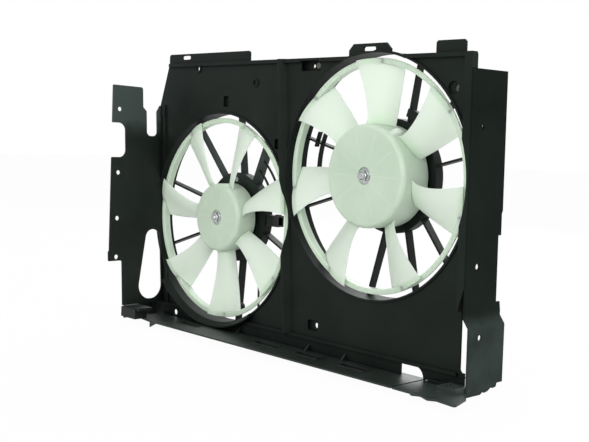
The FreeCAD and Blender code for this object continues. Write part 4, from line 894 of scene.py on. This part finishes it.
zinc_plate = plated_steel("zinc_plate", ZINC_TONES, rough=(0.16, 0.34))
for side, fan in FAN_SIZES.items():
    rotor = "fan_" + side + "_rotor"
    seat = fan["front"] + SEAT_DEPTH
    nut_rear = seat - WASHER_T
    nut_front = nut_rear - NUT_H
    nut = nut_mesh("fan_nut_plated_" + side, fan["axis"], fan["shaft"], nut_front, nut_rear)
    set_piece("fan_nut_plated_" + side, nut, zinc_plate, ["fan_nut_" + side], rotor, "zinc_steel", NUT_CREASE)
    washer = bmesh.new()
    washer_outline = eased_outline([
        (fan["shaft"], nut_rear, WASHER_BORE_EASE), (WASHER_R, nut_rear, WASHER_FRONT_EASE),
        (WASHER_R, seat, WASHER_REAR_EASE), (fan["shaft"], seat, WASHER_BORE_EASE)], RING_CORNER_STEPS)
    turned_surface(washer, fan["axis"], washer_outline, WASHER_STEPS)
    set_piece("fan_washer_plated_" + side, closed_mesh("fan_washer_plated_" + side, washer), zinc_plate,
              ["fan_washer_" + side], rotor, "zinc_steel")
    shaft_r = fan["shaft"] - SHAFT_FIT
    tip = nut_front - SHAFT_END
    shaft_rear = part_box("motor_shaft_" + side)[1][1]
    outline = [(0.0, tip), (shaft_r - SHAFT_TIP, tip), (shaft_r, tip + SHAFT_TIP)]
    for turn in range(THREADS):
        crest = tip + SHAFT_TIP + turn * THREAD_PITCH
        outline += [(shaft_r - THREAD_DEPTH, crest + THREAD_PITCH / 2), (shaft_r, crest + THREAD_PITCH)]
    outline += [(shaft_r, shaft_rear - SHAFT_REAR_EASE), (shaft_r - SHAFT_REAR_EASE, shaft_rear),
                (0.0, shaft_rear)]
    shaft = bmesh.new()
    turned_surface(shaft, fan["axis"], outline, SHAFT_STEPS)
    set_piece("motor_shaft_threaded_" + side, closed_mesh("motor_shaft_threaded_" + side, shaft), zinc_plate,
              ["motor_shaft_" + side], rotor, "zinc_steel", SHAFT_CREASE)


# Motors. Drawn steel cans with black paint, closed by a stamped cover, with ball
# bearings, arc magnets, a slotted core, a copper commutator and carbon brushes inside.
CASE_TONES = ((0.012, 0.012, 0.013, 1.0), (0.024, 0.024, 0.026, 1.0))
BEARING_TONES = ((0.52, 0.53, 0.55, 1.0), (0.66, 0.67, 0.69, 1.0))
CORE_TONES = ((0.24, 0.25, 0.27, 1.0), (0.42, 0.43, 0.45, 1.0))
COPPER_TONES = ((0.62, 0.30, 0.17, 1.0), (0.80, 0.46, 0.28, 1.0))
FERRITE_TONES = ((0.012, 0.012, 0.013, 1.0), (0.022, 0.022, 0.024, 1.0))
BOARD_TONES = ((0.16, 0.075, 0.03, 1.0), (0.24, 0.12, 0.05, 1.0))
CARBON_TONES = ((0.006, 0.006, 0.007, 1.0), (0.014, 0.014, 0.015, 1.0))

case_paint = moulded_plastic("case_paint", CASE_TONES, rough=(0.28, 0.44), grain=2.0 * MM, relief=0.12,
                             edge=0.8 * MM)
bearing_steel = plated_steel("bearing_steel", BEARING_TONES, rough=(0.12, 0.24))
core_steel = plated_steel("core_steel", CORE_TONES, rough=(0.34, 0.52))
bare_copper = plated_steel("bare_copper", COPPER_TONES, rough=(0.22, 0.40))
ferrite = moulded_plastic("ferrite", FERRITE_TONES, rough=(0.55, 0.75), grain=0.8 * MM, relief=0.30,
                          edge=0.4 * MM)
brush_board = moulded_plastic("brush_board", BOARD_TONES, rough=(0.45, 0.62), grain=0.7 * MM, relief=0.25,
                              edge=0.3 * MM)
pressed_carbon = moulded_plastic("pressed_carbon", CARBON_TONES, rough=(0.40, 0.60), grain=0.5 * MM,
                                 relief=0.25, edge=0.3 * MM)
# The inner pieces keep their own CAD meshes, and only take these finishes.
inner_finishes = {
    "front_bearing_": bearing_steel,
    "rear_bearing_": bearing_steel,
    "armature_core_": core_steel,
    "commutator_": bare_copper,
    "field_magnets_": ferrite,
    "brush_card_": brush_board,
    "carbon_brushes_": pressed_carbon,
}
for side in FAN_SIZES:
    set_moulding("motor_can_" + side, "motor_case_" + side, case_paint, slot="motor_steel")
    set_moulding("motor_cover_" + side, "motor_end_cap_" + side, case_paint, slot="motor_steel")
    for node, finish in inner_finishes.items():
        node_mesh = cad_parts[node + side].data
        node_mesh.materials.clear()
        node_mesh.materials.append(finish)


# Motor screws. Three flanged screws with domed heads and a cross recess hold each
# motor's ears on the plate of its carrier; they are plated like the fan nuts.
SCREWS = 3
SCREW_START = 30.0
SCREW_R = 2.5 * MM
SCREW_TIP = 0.4 * MM
SCREW_HEAD_R = 5.0 * MM
SCREW_HEAD_H = 3.5 * MM
SCREW_STEPS = 40
SCREW_CREASE = 28.0
# Points of the head have a share of its radius, and a height above its seat or below its top.
HEAD_UNDER = 0.2 * MM
HEAD_FLANGE = ((1.0, 0.3 * MM), (1.0, 1.1 * MM), (0.86, 1.4 * MM))
HEAD_DOME = ((0.74, 0.9 * MM), (0.62, 0.15 * MM))
CROSS_R = 2.6 * MM
CROSS_W = 0.62 * MM
CROSS_DEPTH = 1.4 * MM
CROSS_ARM = 0.24
CROSS_END = 0.96
CROSS_TAPER = 0.8
EAR_OUT = 8.0 * MM
CASE_RADII = {"left": 46.0 * MM, "right": 56.0 * MM}


def cross_edge(angle):
    """Distance from a screw's middle to the edge of its cross recess, in one direction."""
    off_arm = (angle + math.pi / 4) % (math.pi / 2) - math.pi / 4
    if abs(off_arm) < CROSS_ARM:
        return CROSS_R * CROSS_END
    return CROSS_W / max(abs(math.sin(off_arm)), CROSS_ARM)


def screw_pattern(radius, low, high):
    """One screw beside the origin's Y axis, its head towards the rear."""
    seat = high - SCREW_HEAD_H
    outline = [(0.0, low), (SCREW_R - SCREW_TIP, low), (SCREW_R, low + SCREW_TIP), (SCREW_R, seat),
               (SCREW_HEAD_R - HEAD_UNDER, seat)]
    outline += [(SCREW_HEAD_R * share, seat + height) for share, height in HEAD_FLANGE]
    outline += [(SCREW_HEAD_R * share, high - depth) for share, depth in HEAD_DOME]
    outline.append((CROSS_R, high))
    middle_line = Vector((radius, 0.0, 0.0))
    skin = bmesh.new()
    rows = []
    upper = []
    lower = []
    for i in range(SCREW_STEPS):
        angle = 2 * math.pi * i / SCREW_STEPS
        across = Vector((math.cos(angle), 0.0, math.sin(angle)))
        rows.append([skin.verts.new(middle_line + across * r + Vector((0.0, y, 0.0))) for r, y in outline])
        recess = across * cross_edge(angle)
        upper.append(skin.verts.new(middle_line + recess + Vector((0.0, high, 0.0))))
        floor_point = middle_line + recess * CROSS_TAPER + Vector((0.0, high - CROSS_DEPTH, 0.0))
        lower.append(skin.verts.new(floor_point))
    for i in range(SCREW_STEPS):
        join_rows(skin, rows[i], rows[(i + 1) % SCREW_STEPS])
    join_rows(skin, [row[-1] for row in rows], upper, closed=True)
    join_rows(skin, upper, lower, closed=True)
    skin.faces.new(lower)
    return closed_mesh("screw_pattern", skin)


for side, fan in FAN_SIZES.items():
    low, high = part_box("motor_screws_" + side)
    screw = screw_pattern(CASE_RADII[side] + EAR_OUT, low[1], high[1])
    name = "motor_screws_crossed_" + side
    screws = repeated_round(name, screw, SCREWS, fan["axis"], zinc_plate, SCREW_START)
    set_piece(name, screws, zinc_plate, ["motor_screws_" + side], "shroud", "zinc_steel", SCREW_CREASE)


# Connectors and lead. Moulded black housings with a latch and grip ribs, set on each
# carrier ring, and the left motor's lead in its sleeve, from its ring to the barrel.
PLUG_TONES = ((0.005, 0.005, 0.0055, 1.0), (0.010, 0.010, 0.011, 1.0))
SLEEVE_TONES = ((0.006, 0.006, 0.006, 1.0), (0.013, 0.013, 0.013, 1.0))
SLEEVE_CREASE = 50.0
LATCH_L = 9.0 * MM
LATCH_W = 7.0 * MM
LATCH_H = 1.8 * MM
LATCH_SINK = 0.5 * MM
LATCH_BACK = 2.0 * MM
GRIPS = 3
GRIP_PITCH = 2.6 * MM
GRIP_W = 1.2 * MM
GRIP_BACK = 5.0 * MM
GRIP_OUT = 0.5 * MM
GRIP_SINK = 0.6 * MM
GRIP_SHORT = 1.5 * MM

plug_plastic = moulded_plastic("plug_plastic", PLUG_TONES, rough=(0.32, 0.48), grain=0.9 * MM, relief=0.15,
                               edge=0.5 * MM, shine=0.4)
for side in FAN_SIZES:
    set_moulding("plug_housing_" + side, "motor_plug_" + side, plug_plastic)

for side in FAN_SIZES:
    low, high = (Vector(corner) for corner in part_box("motor_plug_" + side))
    across = (low.y + high.y) / 2
    latch = bmesh.new()
    add_block(latch, (high.x - LATCH_L - LATCH_BACK, across - LATCH_W / 2, high.z - LATCH_SINK),
              (high.x - LATCH_BACK, across + LATCH_W / 2, high.z + LATCH_H))
    for grip in range(GRIPS):
        grip_x = high.x - LATCH_L - GRIP_BACK - grip * GRIP_PITCH
        add_block(latch, (grip_x - GRIP_W / 2, low.y - GRIP_OUT, low.z + GRIP_SHORT),
                  (grip_x + GRIP_W / 2, low.y + GRIP_SINK, high.z - GRIP_SHORT))
    set_piece("plug_latch_" + side, closed_mesh("plug_latch_" + side, latch), plug_plastic)

lead_sleeve = moulded_plastic("lead_sleeve", SLEEVE_TONES, rough=(0.45, 0.62), grain=0.8 * MM, relief=0.25,
                              shine=0.3)
set_moulding("lead_sleeve_left", "motor_lead_left", lead_sleeve, slot="lead_sleeve", crease=SLEEVE_CREASE)


# Wire clip and tooth washer. A pale nylon push-in clip sits in the wiring recess, and
# a small bright star-shaped washer of plated steel lies on the left carrier's ring.
CLIP_TONES = ((0.045, 0.040, 0.030, 1.0), (0.075, 0.068, 0.052, 1.0))
STAR_TEETH = 6
STAR_TURN = 10.0
STAR_ANGLE = math.radians(89.7)
STAR_DISTANCE = 63.5 * MM
STAR_FRONT = 36.6 * MM
STAR_REAR = 38.2 * MM
STAR_R = 4.2 * MM
STAR_BORE = 0.6 * MM
TOOTH_TIP_W = 1.3 * MM
TOOTH_ROOT_W = 2.2 * MM

clip_nylon = moulded_plastic("clip_nylon", CLIP_TONES, rough=(0.35, 0.50), grain=1.0 * MM, relief=0.10,
                             edge=0.3 * MM)
set_moulding("wire_clip_nylon", "wire_clip", clip_nylon, slot="clip_plastic")

tooth = bmesh.new()
bmesh.ops.create_cube(tooth, size=1.0)
for vert in tooth.verts:
    outward = vert.co.x > 0
    vert.co = Vector((STAR_R if outward else STAR_BORE, STAR_FRONT if vert.co.y < 0 else STAR_REAR,
                      vert.co.z * (TOOTH_TIP_W if outward else TOOTH_ROOT_W)))
star_place = LEFT_AXIS + Vector((math.cos(STAR_ANGLE), 0.0, math.sin(STAR_ANGLE))) * STAR_DISTANCE
star = repeated_round("tooth_washer_left", closed_mesh("tooth_pattern", tooth), STAR_TEETH, star_place,
                      zinc_plate, STAR_TURN)
set_piece("tooth_washer_left", star, zinc_plate, slot="zinc_steel")
